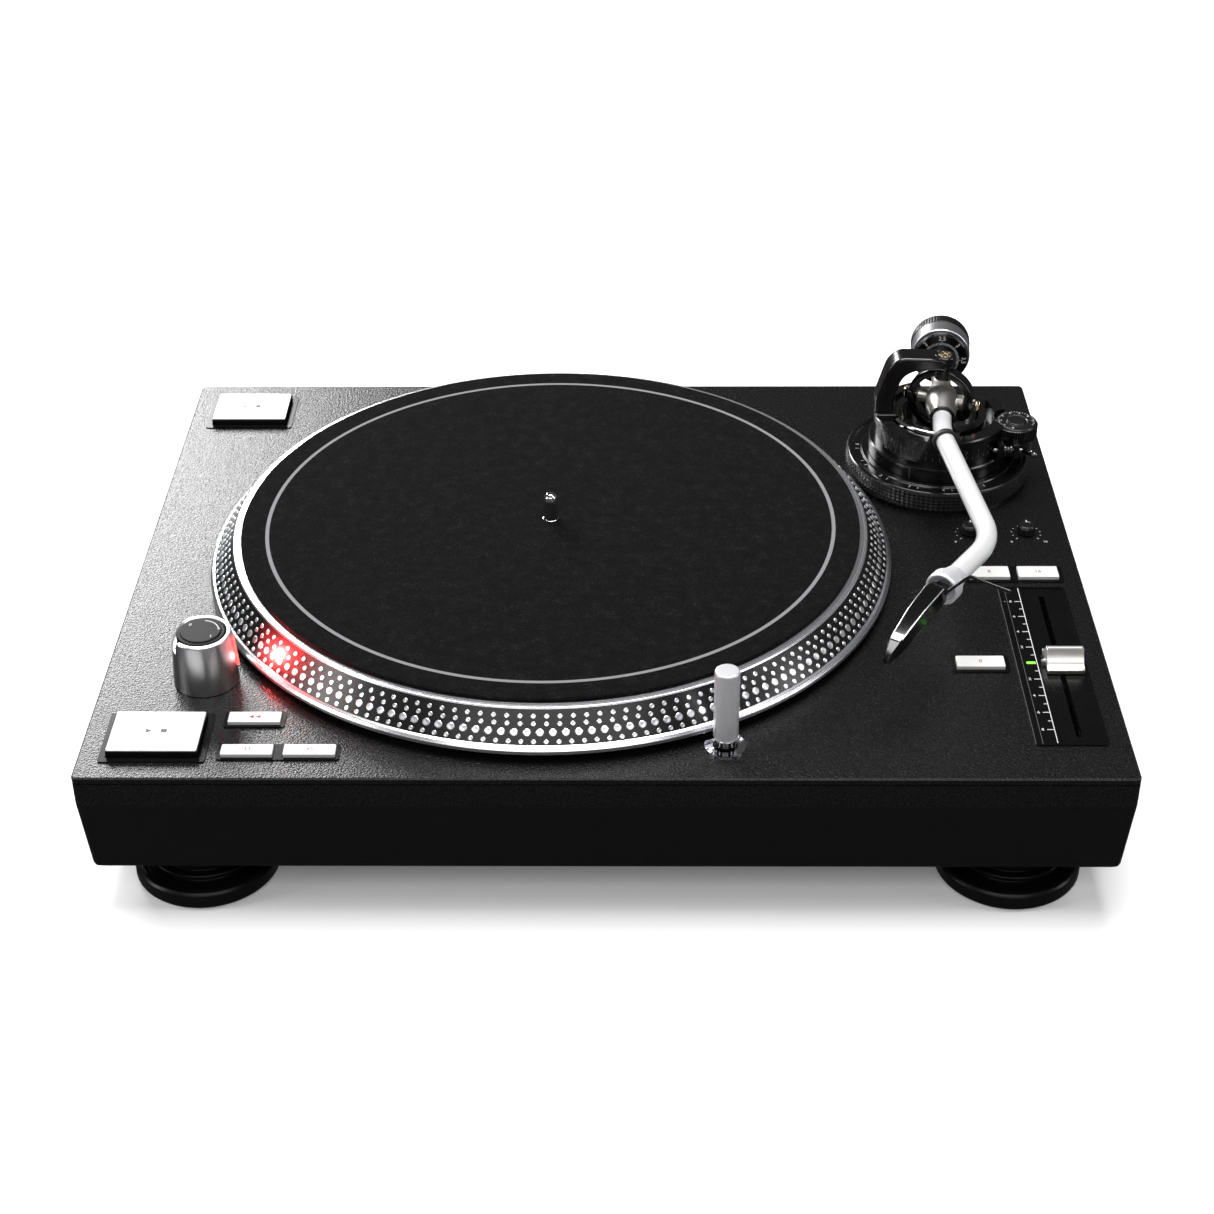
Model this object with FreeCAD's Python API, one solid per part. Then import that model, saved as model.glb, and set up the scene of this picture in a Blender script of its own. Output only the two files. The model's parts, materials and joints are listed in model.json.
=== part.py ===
"""Direct-drive turntable record player, modelled as separate pieces.

Millimetres, +X to the right, +Y to the back, +Z up.  Heights in this file are measured from
the top surface of the top plate; save() lifts every piece so that the feet stand on z = 0.
The origin is the centre of the casing.
"""
import FreeCAD, Part
import math
import os

V = FreeCAD.Vector
UP = V(0, 0, 1)

# ---------------------------------------------------------------- driving dimensions
PLINTH_X = 458.0            # casing width
PLINTH_Y = 354.0            # casing depth
CORNER_R = 2.5              # plan radius of the casing corners
PLATE_DEPTH = 15.0          # top plate with its rim band
PLATE_SKIN = 4.0            # thickness of the top plate's upper skin
PLATE_WALL = 6.0            # thickness of its rim
BASE_DEPTH = 37.5           # lower base tub
BASE_TAPER = 2.5            # how far the base draws in towards its bottom, each side
BASE_WALL = 6.0
BASE_FLOOR = 4.0
BASE_EDGE_R = 3.0           # rounded bottom edge of the base
FOOT_HEIGHT = 24.0
FOOT_R = 33.0
FOOT_NECK_R = 22.5
FOOT_STUD_R = 5.0
FOOT_INSET = V(46.5, 34.5, 0)
SCREW_R = 3.5

PLATTER_INSET = 201.0       # platter centre from the casing's left edge
PLATTER_R = 166.0
PLATTER_RISE = 20.5         # flat upper face of the platter
MAT_R = 150.0
MAT_THICK = 1.8
SPINDLE_R = 3.6             # part that a record's hole goes over
SPINDLE_HUB_R = 4.0         # part inside the platter and the mat
SHAFT_R = 5.0               # part that turns in the bearing
SPINDLE_TOP = 36.0
SPINDLE_FOOT = -40.0
HUB_UNDER = 6.0             # underside of the platter's hub, on the shaft's shoulder

BUTTON_GAP = 0.3            # cap to bezel, all round
BEZEL_PROUD = 0.5
CAP_FLANGE = 1.0            # retaining flange of a cap
BUTTON_TRAVEL = 1.2

FADER_TRAVEL = 50.5         # each way
FADER_SLOT_W = 2.6
FADER_STEM_W = 2.0
FADER_STEM_L = 5.0
TRIM_KNOB_R = 4.5
TRIM_SHAFT_R = 1.5

TOWER_R = 14.8
TOWER_HEIGHT = 26.0
POWER_KNOB_R = 11.0
LIGHT_R = 5.5               # target light barrel
LIGHT_TOP = 40.5
LIGHT_NECK_R = 4.0
LIGHT_NECK = 5.0            # neck seen below the barrel
LIGHT_DROP = 36.0

PIVOT_OFFSET = V(198.3, 84.5, 0)   # tonearm pivot from the spindle
PIVOT_HEIGHT = 42.0
ARM_TILT = 1.2              # degrees, front end up
TUBE_R = 4.75
LEG_HEADINGS = (-96.0, -83.9, -123.5)   # plan directions of the tube's three straight legs
LEG_LENGTHS = (40.0, 101.9, 100.7)
BEND_RADII = (60.0, 28.0)
COLLAR_R = 7.8              # front ring of the locking collar
COLLAR_LENGTH = 14.0
CARTRIDGE_LENGTH = 49.0     # collar face to stylus
CARTRIDGE_W = 8.6
STUB_R = 5.0                # rear shaft that carries the counterweight
BUSH_R = 8.0
WEIGHT_R = 15.8
DIAL_R = 14.2
WEIGHT_FRONT = 45.0         # dial face behind the pivot
DIAL_THICK = 3.7
WEIGHT_LENGTH = 19.0
HOUSING_R = 8.2             # bullet-shaped pivot housing
HOUSING_FRONT = 22.0

RING_R = 47.3               # knurled height ring
RING_TOP = 12.5
COLUMN_R = 31.0             # sliding column of the arm base
SOCKET_WALL = 5.0           # wall of the sleeve that the column slides in
BASE_DRUM_R = 33.0
BASE_DISC_R = 34.0
BASE_TOP = 34.5
GIMBAL_IN = 13.5
GIMBAL_OUT = 17.5
GIMBAL_THICK = 7.0
GIMBAL_HEADING = -25.0      # plan direction of the horizontal bearing axis, towards its right-hand end
GIMBAL_SCREW_R = 2.2
EAR_R = 4.2                 # bearing ears of the pivot housing
LIFT_R = 25.5               # mid radius of the lift platform's arc
ANTISKATE_R = 11.2

RUN = 0.05                  # running clearance, radial
CLEAR = 0.3                 # free clearance between pieces that move apart

# ---------------------------------------------------------------- places worked out from them
TOP_Z = PLATE_DEPTH + BASE_DEPTH + FOOT_HEIGHT
LEFT, RIGHT = -PLINTH_X / 2, PLINTH_X / 2
FRONT, BACK = -PLINTH_Y / 2, PLINTH_Y / 2
BASE_BOTTOM = -PLATE_DEPTH - BASE_DEPTH
PLATTER = V(LEFT + PLATTER_INSET, 0, 0)
PIVOT = PLATTER + PIVOT_OFFSET + V(0, 0, PIVOT_HEIGHT)
TOWER = PLATTER + V(-153.8, -104.0, 0)
LIGHT = V(PLATTER.x + 80.2, FRONT + 23.0, 0)
ANTISKATE = PIVOT + V(38.2, -6.5, -PIVOT_HEIGHT)
FEET = {
    "foot_front_left": V(LEFT + FOOT_INSET.x, FRONT + FOOT_INSET.y, 0),
    "foot_front_right": V(RIGHT - FOOT_INSET.x, FRONT + FOOT_INSET.y, 0),
    "foot_rear_left": V(LEFT + FOOT_INSET.x, BACK - FOOT_INSET.y, 0),
    "foot_rear_right": V(RIGHT - FOOT_INSET.x, BACK - FOOT_INSET.y, 0),
}
TRIM_KNOBS = {
    "torque_knob": V(RIGHT - 48.5, 21.3, 0),
    "brake_knob": V(RIGHT - 20.6, 21.3, 0),
}
FADER = V(RIGHT - 22.0, FRONT + 85.0, 0)
FADER_PANEL = (RIGHT - 42.1, RIGHT - 9.8, FADER.y - 61.7, FADER.y + 63.5)

# cap: low x, high x, low y, high y, height above the plate
BUTTONS = {
    "start_stop_front_button": (LEFT + 12.5, LEFT + 52.6, FRONT + 14.1, FRONT + 43.1, 4.0),
    "start_stop_rear_button": (LEFT + 12.5, LEFT + 52.6, BACK - 45.1, BACK - 16.1, 4.0),
    "reverse_button": (LEFT + 62.0, LEFT + 85.3, FRONT + 37.8, FRONT + 45.5, 2.0),
    "speed_33_button": (LEFT + 62.2, LEFT + 84.8, FRONT + 14.4, FRONT + 21.8, 2.0),
    "speed_45_button": (LEFT + 89.4, LEFT + 112.1, FRONT + 14.4, FRONT + 21.8, 2.0),
    "pitch_8_button": (RIGHT - 54.0, RIGHT - 34.5, -21.8, -12.2, 2.0),
    "pitch_16_button": (RIGHT - 30.4, RIGHT - 10.9, -21.8, -12.2, 2.0),
    "reset_button": (RIGHT - 69.2, RIGHT - 47.2, FADER.y - 4.7, FADER.y + 4.0, 2.0),
}
# bezel: the caps that it frames, and its border round them
BEZELS = (
    (("start_stop_front_button",), 3.2),
    (("start_stop_rear_button",), 3.2),
    (("reverse_button",), 1.9),
    (("speed_33_button", "speed_45_button"), 1.8),
    (("pitch_8_button", "pitch_16_button"), 2.2),
    (("reset_button",), 2.2),
)


# ---------------------------------------------------------------- shape helpers
def box(x0, x1, y0, y1, z0, z1):
    return Part.makeBox(x1 - x0, y1 - y0, z1 - z0, V(x0, y0, z0))


def cylinder(radius, z0, z1, at=V()):
    return Part.makeCylinder(radius, z1 - z0, V(at.x, at.y, z0), UP)


def ring(outer, inner, z0, z1, at=V()):
    return cylinder(outer, z0, z1, at).cut(cylinder(inner, z0 - 1, z1 + 1, at))


def is_upright(edge):
    low, high = edge.BoundBox.ZMin, edge.BoundBox.ZMax
    return high - low > 1e-6 and edge.BoundBox.XLength < 1e-6 and edge.BoundBox.YLength < 1e-6


def rounded_box(x0, x1, y0, y1, z0, z1, radius):
    block = box(x0, x1, y0, y1, z0, z1)
    return block.makeFillet(radius, [edge for edge in block.Edges if is_upright(edge)])


def flat_face(points):
    wire = Part.makePolygon([V(*point) for point in points] + [V(*points[0])])
    return Part.Face(wire)


def turned(profile, at=V()):
    """Solid of revolution about a vertical axis; the profile is (radius, height) points."""
    face = flat_face([(radius, 0, height) for radius, height in profile])
    solid = face.revolve(V(), UP, 360)
    solid.translate(V(at.x, at.y, 0))
    return solid


def turned_along(profile):
    """Solid of revolution about the X axis; the profile is (station, radius) points."""
    face = flat_face([(station, 0, radius) for station, radius in profile])
    return face.revolve(V(), V(1, 0, 0), 360)


def rod(radius, start, end):
    return Part.makeCylinder(radius, (end - start).Length, start, end - start)


def joined(first, *others):
    solid = first
    for other in others:
        solid = solid.fuse(other)
    return solid.removeSplitter()


def cut_all(solid, tools):
    for tool in tools:
        solid = solid.cut(tool)
    return solid


def heading(degrees):
    return V(math.cos(math.radians(degrees)), math.sin(math.radians(degrees)), 0)


def laid_along(shape, origin, degrees):
    """Turns a piece modelled along +X to a plan direction and moves it to its origin."""
    shape.rotate(V(), UP, degrees)
    shape.translate(origin)
    return shape


def tilted(shape):
    """Raises the front of a tonearm piece about the horizontal bearing axis."""
    shape.rotate(PIVOT, heading(GIMBAL_HEADING), -ARM_TILT)
    return shape


def save(name, shape):
    shape = shape.copy()
    shape.translate(V(0, 0, TOP_Z))
    shape.exportStep("parts/%s.step" % name)


# ---------------------------------------------------------------- casing
PLATTER_WELL_R = 64.0
ARM_HOLE_R = COLUMN_R + SOCKET_WALL    # outside of the arm socket's sleeve
GUIDE_R = 7.5
FADER_PANEL_DEPTH = 1.0
SOCKET_FACE = BACK - 11.0   # flat face that the rear sockets stand on
SOCKET_HEIGHT = -34.0
PHONO_X = (-20.0, -4.0)
INLET_X = 60.0
INLET_HALF = V(14.0, 0, 10.0)
COVER = (-150.0, 150.0, -100.0, 60.0)
COVER_THICK = 2.0
COVER_LEDGE = 8.0
PHONO_R = 4.15
PHONO_LENGTH = 8.0
PHONO_FLANGE = 2.4          # how far the flange stands out past the barrel
PHONO_BORE_R = 1.7
INLET_DEPTH = 20.0


def bezel_outline(names, border):
    caps = [BUTTONS[name] for name in names]
    low_x = min(cap[0] for cap in caps) - border
    high_x = max(cap[1] for cap in caps) + border
    low_y = min(cap[2] for cap in caps) - border
    high_y = max(cap[3] for cap in caps) + border
    return low_x, high_x, low_y, high_y


def fader_slot(half_length, width, z0, z1):
    half = width / 2
    return box(FADER.x - half, FADER.x + half, FADER.y - half_length, FADER.y + half_length, z0, z1)


def top_plate():
    plate = rounded_box(LEFT, RIGHT, FRONT, BACK, -PLATE_DEPTH, 0, CORNER_R)
    top_edges = [edge for edge in plate.Edges if edge.BoundBox.ZMin > -1e-6]
    plate = plate.makeChamfer(0.7, top_edges)
    inside = PLATE_WALL
    hollow = box(LEFT + inside, RIGHT - inside, FRONT + inside, BACK - inside, -PLATE_DEPTH, -PLATE_SKIN)
    groove_outer = box(LEFT - 1, RIGHT + 1, FRONT - 1, BACK + 1, -3.6, -3.0)
    groove = groove_outer.cut(
        rounded_box(LEFT + 0.5, RIGHT - 0.5, FRONT + 0.5, BACK - 0.5, -4, -2, CORNER_R - 0.5))
    openings = [hollow, groove]
    openings.append(cylinder(PLATTER_WELL_R, -PLATE_SKIN - 1, 1, PLATTER))
    openings.append(cylinder(ARM_HOLE_R, -PLATE_SKIN - 1, 1, PIVOT))
    openings.append(cylinder(GUIDE_R, -PLATE_SKIN - 1, 1, LIGHT))
    openings.append(cylinder(TRIM_SHAFT_R + CLEAR, -PLATE_SKIN - 1, 1, TRIM_KNOBS["torque_knob"]))
    openings.append(cylinder(TRIM_SHAFT_R + CLEAR, -PLATE_SKIN - 1, 1, TRIM_KNOBS["brake_knob"]))
    openings.append(cylinder(TOWER_FOOT_R + RUN, -PLATE_SKIN - 1, 1, TOWER))
    for names, border in BEZELS:
        openings.append(rounded_box(*bezel_outline(names, border), -PLATE_SKIN - 1, 1, 1.5))
    openings.append(rounded_box(*FADER_PANEL, -FADER_PANEL_DEPTH, 1, 2.0))
    openings.append(fader_slot(FADER_TRAVEL + FADER_STEM_L, FADER_SLOT_W, -PLATE_SKIN - 1, 1))
    return cut_all(plate, openings)


def rounded_outline(half_x, half_y, radius, z):
    block = rounded_box(-half_x, half_x, -half_y, half_y, z, z + 1, radius)
    low_face = min(block.Faces, key=lambda face: face.CenterOfMass.z)
    return low_face.OuterWire


def base_shell():
    """Tapered outer body of the base; its rounded bottom edge is a quarter circle in steps."""
    sections = [(0.0, -PLATE_DEPTH)]
    for degrees in (0, 30, 60, 90):
        angle = math.radians(degrees)
        inset = BASE_TAPER + BASE_EDGE_R * (1 - math.cos(angle))
        sections.append((inset, BASE_BOTTOM + BASE_EDGE_R * (1 - math.sin(angle))))
    outlines = [rounded_outline(PLINTH_X / 2 - inset, PLINTH_Y / 2 - inset, CORNER_R, z)
                for inset, z in sections]
    return Part.makeLoft(outlines, True, True)


def base_tub():
    tub = base_shell()
    narrow_x, narrow_y = PLINTH_X / 2 - BASE_TAPER, PLINTH_Y / 2 - BASE_TAPER
    inner_x, inner_y = narrow_x - BASE_WALL, narrow_y - BASE_WALL
    floor = BASE_BOTTOM + BASE_FLOOR
    hollow = box(-inner_x, inner_x, -inner_y, inner_y, floor, 0)
    bay = box(PHONO_X[0] - 20, INLET_X + 30, SOCKET_FACE - BASE_WALL, inner_y + 1, floor, -PLATE_DEPTH)
    hollow = hollow.cut(bay)
    tub = tub.cut(hollow)
    cuts = [box(PHONO_X[0] - 14, INLET_X + 24, SOCKET_FACE, BACK + 1, SOCKET_HEIGHT - 13, SOCKET_HEIGHT + 13)]
    for x in PHONO_X:
        cuts.append(rod(PHONO_R, V(x, SOCKET_FACE - 20, SOCKET_HEIGHT), V(x, SOCKET_FACE + 1, SOCKET_HEIGHT)))
    cuts.append(box(INLET_X - INLET_HALF.x, INLET_X + INLET_HALF.x, SOCKET_FACE - 20, SOCKET_FACE + 1,
                    SOCKET_HEIGHT - INLET_HALF.z, SOCKET_HEIGHT + INLET_HALF.z))
    x0, x1, y0, y1 = COVER
    cuts.append(box(x0, x1, y0, y1, BASE_BOTTOM - 1, BASE_BOTTOM + COVER_THICK))
    cuts.append(box(x0 + COVER_LEDGE, x1 - COVER_LEDGE, y0 + COVER_LEDGE, y1 - COVER_LEDGE,
                    BASE_BOTTOM - 1, floor + 1))
    bosses = [cylinder(FOOT_STUD_R * 2.4, BASE_BOTTOM + 1, BASE_BOTTOM + 20, at) for at in FEET.values()]
    tub = joined(tub, *bosses)
    for at in FEET.values():
        cuts.append(cylinder(FOOT_STUD_R + RUN, BASE_BOTTOM - 1, BASE_BOTTOM + 21, at))
    for at in cover_screw_places():
        cuts.append(cylinder(SCREW_R / 2, BASE_BOTTOM - 1, floor + 1, at))
    return cut_all(tub, cuts)


def cover_screw_places():
    x0, x1, y0, y1 = COVER
    inset = COVER_LEDGE / 2
    rows_x = (x0 + inset, (x0 + x1) / 2, x1 - inset)
    return [V(x, y, 0) for x in rows_x for y in (y0 + inset, y1 - inset)]


def bottom_cover():
    x0, x1, y0, y1 = COVER
    cover = box(x0 + CLEAR, x1 - CLEAR, y0 + CLEAR, y1 - CLEAR, BASE_BOTTOM, BASE_BOTTOM + COVER_THICK)
    vents = [box(x - 1.5, x + 1.5, -60, 20, BASE_BOTTOM - 1, BASE_BOTTOM + COVER_THICK + 1)
             for x in range(-60, 61, 12)]
    screws = [cylinder(SCREW_R / 2, BASE_BOTTOM - 1, 0, at) for at in cover_screw_places()]
    return cut_all(cover, vents + screws)


def cover_screws():
    screws = []
    for at in cover_screw_places():
        shank = cylinder(SCREW_R / 2, BASE_BOTTOM, BASE_BOTTOM + BASE_FLOOR, at)
        head = cylinder(SCREW_R, BASE_BOTTOM - 1.6, BASE_BOTTOM, at)
        slot = box(at.x - 2.4, at.x + 2.4, at.y - 0.4, at.y + 0.4, BASE_BOTTOM - 2, BASE_BOTTOM - 1)
        screws.append(joined(shank, head).cut(slot))
    return Part.makeCompound(screws)


def foot(at):
    ground = -TOP_Z
    top = BASE_BOTTOM - CLEAR
    profile = [(0, ground), (FOOT_R - 2, ground), (FOOT_R, ground + 2), (FOOT_R, ground + 8),
               (FOOT_R - 1.5, ground + 9.5), (FOOT_NECK_R, ground + 9.5), (FOOT_NECK_R, ground + 12),
               (FOOT_NECK_R + 4, ground + 12), (FOOT_NECK_R + 4, ground + 14.5),
               (FOOT_NECK_R, ground + 14.5), (FOOT_NECK_R, top), (FOOT_STUD_R, top),
               (FOOT_STUD_R, BASE_BOTTOM + 16), (0, BASE_BOTTOM + 16)]
    return turned(profile, at)


# ---------------------------------------------------------------- rear sockets and electronics
BOARD_THICK = 1.6
POST_HEIGHT = 4.0           # posts that hold the power board off the floor
POWER_BOARD = V(110.0, 70.0, 0)
POWER_BOARD_CORNER = PIVOT + V(-140.3, -14.5, 0)
CORE = V(40.0, 34.0, 6.0)   # transformer's iron core, and the thickness of its lower half
CORE_CORNER = POWER_BOARD_CORNER + V(38.0, 16.0, 0)
WINDING_HEIGHT = 16.0


def phono_sockets():
    sockets = []
    for x in PHONO_X:
        centre = V(x, SOCKET_FACE, SOCKET_HEIGHT)
        barrel = rod(PHONO_R, centre + V(0, -9, 0), centre + V(0, PHONO_LENGTH, 0))
        flange = rod(PHONO_R + PHONO_FLANGE, centre, centre + V(0, 1.2, 0))
        bore = rod(PHONO_BORE_R, centre + V(0, -2, 0), centre + V(0, PHONO_LENGTH + 1, 0))
        sockets.append(joined(barrel, flange).cut(bore))
    return Part.makeCompound(sockets)


def power_inlet():
    half = INLET_HALF
    body = box(INLET_X - half.x, INLET_X + half.x, SOCKET_FACE - INLET_DEPTH, SOCKET_FACE,
               SOCKET_HEIGHT - half.z, SOCKET_HEIGHT + half.z)
    mouth = box(INLET_X - 12, INLET_X + 12, SOCKET_FACE - 16, SOCKET_FACE + 1,
                SOCKET_HEIGHT - 8, SOCKET_HEIGHT + 8)
    blades = [box(INLET_X + x - 1, INLET_X + x + 1, SOCKET_FACE - 17, SOCKET_FACE - 6,
                  SOCKET_HEIGHT + z - 2, SOCKET_HEIGHT + z + 2) for x, z in ((-7, -2), (0, 2), (7, -2))]
    return joined(body.cut(mouth), *blades)


def power_board():
    floor = BASE_BOTTOM + BASE_FLOOR
    under, top = floor + POST_HEIGHT, floor + POST_HEIGHT + BOARD_THICK
    x0, y0 = POWER_BOARD_CORNER.x, POWER_BOARD_CORNER.y
    x1, y1 = x0 + POWER_BOARD.x, y0 + POWER_BOARD.y
    board = box(x0, x1, y0, y1, under, top)
    posts = [cylinder(3, floor, under, V(x, y, 0)) for x in (x0 + 8, x1 - 8) for y in (y0 + 8, y1 - 8)]
    heat_sink = box(x0 + 10, x0 + 30, y0 + 10, y0 + 30, top, top + 10.4)
    capacitors = [cylinder(7, top, top + 16.4, V(x1 - 20, y0 + y, 0)) for y in (20, 40)]
    return joined(board, *posts, heat_sink, *capacitors)


def power_transformer():
    foot = BASE_BOTTOM + BASE_FLOOR + POST_HEIGHT + BOARD_THICK
    x0, y0 = CORE_CORNER.x, CORE_CORNER.y
    x1, y1 = x0 + CORE.x, y0 + CORE.y
    winding_foot = foot + CORE.z
    winding_top = winding_foot + WINDING_HEIGHT
    core = box(x0, x1, y0, y1, foot, winding_foot)
    winding = rounded_box(x0 + 4, x1 - 4, y0 - 6, y1 + 6, winding_foot, winding_top, 4)
    cap = box(x0, x1, y0, y1, winding_top, winding_top + 4)
    return joined(core, winding, cap)


# ---------------------------------------------------------------- motor and platter
MOTOR_BOARD_Z = -PLATE_SKIN - 2.0
SLEEVE_R = 9.0
ROTOR = (56.0, 61.0)
PLATTER_UNDER = 15.0        # underside of the platter's web
COIL_COUNT = 12


def motor_board():
    return ring(PLATTER_WELL_R + 8, SLEEVE_R + RUN, MOTOR_BOARD_Z, -PLATE_SKIN, PLATTER)


def stator_core():
    core = ring(34, 22, -PLATE_SKIN, 8, PLATTER)
    teeth = []
    for index in range(COIL_COUNT):
        tooth = box(30, 51, -2.5, 2.5, -1, 5)
        tooth.rotate(V(), UP, index * 360.0 / COIL_COUNT)
        tooth.translate(PLATTER)
        teeth.append(tooth)
    return joined(core, *teeth)


def stator_coils():
    coils = []
    for index in range(COIL_COUNT):
        coil = box(36, 48, -4.6, 4.6, -3, 7).cut(box(35, 49, -2.5, 2.5, -1, 5))
        coil.rotate(V(), UP, index * 360.0 / COIL_COUNT)
        coil.translate(PLATTER)
        coils.append(coil)
    return Part.makeCompound(coils)


def bearing_sleeve():
    bore_foot = SPINDLE_FOOT - CLEAR
    bore = SHAFT_R + RUN
    board = MOTOR_BOARD_Z
    profile = [(0, bore_foot - 3), (SLEEVE_R, bore_foot - 3), (SLEEVE_R, board - 3), (20, board - 3),
               (20, board), (SLEEVE_R, board), (SLEEVE_R, 0), (bore, 0), (bore, bore_foot), (0, bore_foot)]
    return turned(profile, PLATTER)


def spindle():
    nose = SPINDLE_R * 0.45
    seat = PLATTER_RISE + MAT_THICK
    profile = [(0, SPINDLE_FOOT), (SHAFT_R, SPINDLE_FOOT), (SHAFT_R, HUB_UNDER), (SPINDLE_HUB_R, HUB_UNDER),
               (SPINDLE_HUB_R, seat), (SPINDLE_R, seat), (SPINDLE_R, SPINDLE_TOP - 3),
               (nose + 1.4, SPINDLE_TOP - 0.9), (nose, SPINDLE_TOP), (0, SPINDLE_TOP)]
    return turned(profile, PLATTER)


def platter():
    outer, top, under = PLATTER_R, PLATTER_RISE, PLATTER_UNDER
    bore = SPINDLE_HUB_R + RUN
    profile = [(bore, HUB_UNDER), (14, HUB_UNDER), (18, under), (outer - 14, under),
               (outer - 8, 3), (outer - 1.5, 3),
               (outer, 4.2), (outer, 5.8), (outer - 1.2, 7), (outer - 2.5, 7.5), (outer - 12, top - 0.5),
               (outer - 12.5, top), (bore, top)]
    return turned(profile, PLATTER)


def rotor_magnet():
    return ring(ROTOR[1], ROTOR[0], 3.0, PLATTER_UNDER, PLATTER)


def slipmat():
    return ring(MAT_R, SPINDLE_HUB_R + RUN, PLATTER_RISE, PLATTER_RISE + MAT_THICK, PLATTER)


# ---------------------------------------------------------------- controls
SWITCH_BOARD_Z = -12.0
SWITCH_TOP = -8.9
KNOB_WIDTH, KNOB_LENGTH = 17.0, 18.0       # fader knob
TOWER_FOOT_R = TOWER_R - 5.0
POWER_SHAFT_R = 3.5
LAMP_HEADING = math.degrees(math.atan2(PLATTER.y - TOWER.y, PLATTER.x - TOWER.x))


def button_cap(name):
    x0, x1, y0, y1, height = BUTTONS[name]
    flange = CAP_FLANGE
    foot = box(x0 - flange, x1 + flange, y0 - flange, y1 + flange, -6.4, -PLATE_SKIN - CLEAR)
    cap = rounded_box(x0, x1, y0, y1, -5, height, 0.8)
    top_edges = [edge for edge in cap.Edges if edge.BoundBox.ZMin > height - 1e-6]
    cap = cap.makeFillet(0.4, top_edges)
    x, y = (x0 + x1) / 2, (y0 + y1) / 2
    plunger = cylinder(1.5, -7.4, -6, V(x, y, 0))
    return joined(cap, foot, plunger)


def button_bezels():
    frames = []
    for names, border in BEZELS:
        frame = rounded_box(*bezel_outline(names, border), -PLATE_SKIN, BEZEL_PROUD, 1.5)
        for name in names:
            x0, x1, y0, y1, _ = BUTTONS[name]
            gap = BUTTON_GAP
            frame = frame.cut(box(x0 - gap, x1 + gap, y0 - gap, y1 + gap, -PLATE_SKIN - 1, 2))
        frames.append(frame)
    return Part.makeCompound(frames)


def control_boards():
    """Switch board under each bezel, and the two trim potentiometers."""
    boards = [trim_pot(at) for at in TRIM_KNOBS.values()]
    board_top = SWITCH_BOARD_Z + 1.2
    for names, border in BEZELS:
        x0, x1, y0, y1 = bezel_outline(names, border + 2.0)
        board = box(x0, x1, y0, y1, SWITCH_BOARD_Z, board_top)
        legs = [cylinder(1.0, SWITCH_BOARD_Z, -PLATE_SKIN, V(x, y, 0))
                for x in (x0 + 1.0, x1 - 1.0) for y in (y0 + 1.0, y1 - 1.0)]
        switches = []
        for name in names:
            cap = BUTTONS[name]
            x, y = (cap[0] + cap[1]) / 2, (cap[2] + cap[3]) / 2
            switches.append(box(x - 3, x + 3, y - 3, y + 3, board_top, SWITCH_TOP))
        boards.append(joined(board, *legs, *switches))
    return Part.makeCompound(boards)


def fader_panel():
    panel = rounded_box(*FADER_PANEL, -FADER_PANEL_DEPTH, 0.6, 2.0)
    x0, x1, y0, y1 = FADER_PANEL
    tray = rounded_box(x0 + 11.6, x1 - 1.2, y0 + 1.2, y1 - 1.2, 0.2, 1, 1.0)
    slot = fader_slot(FADER_TRAVEL + FADER_STEM_L, FADER_SLOT_W, -2, 1)
    return cut_all(panel, [tray, slot])


def fader_body():
    half = FADER_TRAVEL + FADER_STEM_L + 2
    body = box(FADER.x - 7, FADER.x + 7, FADER.y - half, FADER.y + half, -PLATE_SKIN - 13, -PLATE_SKIN)
    return body.cut(fader_slot(FADER_TRAVEL + FADER_STEM_L, FADER_SLOT_W, -PLATE_SKIN - 10.5, 1))


def pitch_fader_knob():
    width, half = KNOB_WIDTH, KNOB_LENGTH / 2
    side = [(-half, 0.8), (half, 0.8), (half, 2.6), (5.6, 3.4), (2.6, 6.0), (1.3, 9.3),
            (-1.3, 9.3), (-2.6, 6.0), (-5.6, 3.4), (-half, 2.6)]
    face = flat_face([(FADER.x - width / 2 + 1.7, FADER.y + y, z) for y, z in side])
    grip = face.extrude(V(width, 0, 0))
    stem_x, stem_y = FADER_STEM_W / 2, FADER_STEM_L / 2
    stem = box(FADER.x - stem_x, FADER.x + stem_x, FADER.y - stem_y, FADER.y + stem_y,
               -PLATE_SKIN - 10, 1.5)
    return joined(grip, stem)


def trim_knob(at):
    profile = [(0, -PLATE_SKIN - 6), (TRIM_SHAFT_R, -PLATE_SKIN - 6), (TRIM_SHAFT_R, CLEAR),
               (TRIM_KNOB_R, CLEAR), (TRIM_KNOB_R, 4.6), (TRIM_KNOB_R - 0.8, 5.4), (0, 5.4)]
    return turned(profile, at)


def trim_pot(at):
    body = cylinder(8, -PLATE_SKIN - 8, -PLATE_SKIN, at)
    return body.cut(cylinder(TRIM_SHAFT_R + RUN, -PLATE_SKIN - 6 - CLEAR, 1, at))


def strobe_tower():
    inner = POWER_KNOB_R + CLEAR
    foot = -PLATE_SKIN - 8
    profile = [(POWER_SHAFT_R, foot), (TOWER_FOOT_R, foot), (TOWER_FOOT_R, 0), (TOWER_R, 0),
               (TOWER_R - 1.1, TOWER_HEIGHT), (inner, TOWER_HEIGHT), (inner, 3), (POWER_SHAFT_R, 3)]
    shell = turned(profile, TOWER)
    sight = box(TOWER_FOOT_R, TOWER_R + 2, -4.0, 4.0, 7, 15)
    laid_along(sight, TOWER, LAMP_HEADING)
    notch = box(TOWER_R - 6, TOWER_R + 2, -7.0, 7.0, TOWER_HEIGHT - 9, TOWER_HEIGHT + 1)
    laid_along(notch, TOWER, -130)
    return cut_all(shell, [sight, notch])


def strobe_lamp():
    lamp = box(POWER_KNOB_R + CLEAR, TOWER_R - 0.9, -4.0, 4.0, 7, 15)
    return laid_along(lamp, TOWER, LAMP_HEADING)


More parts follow.
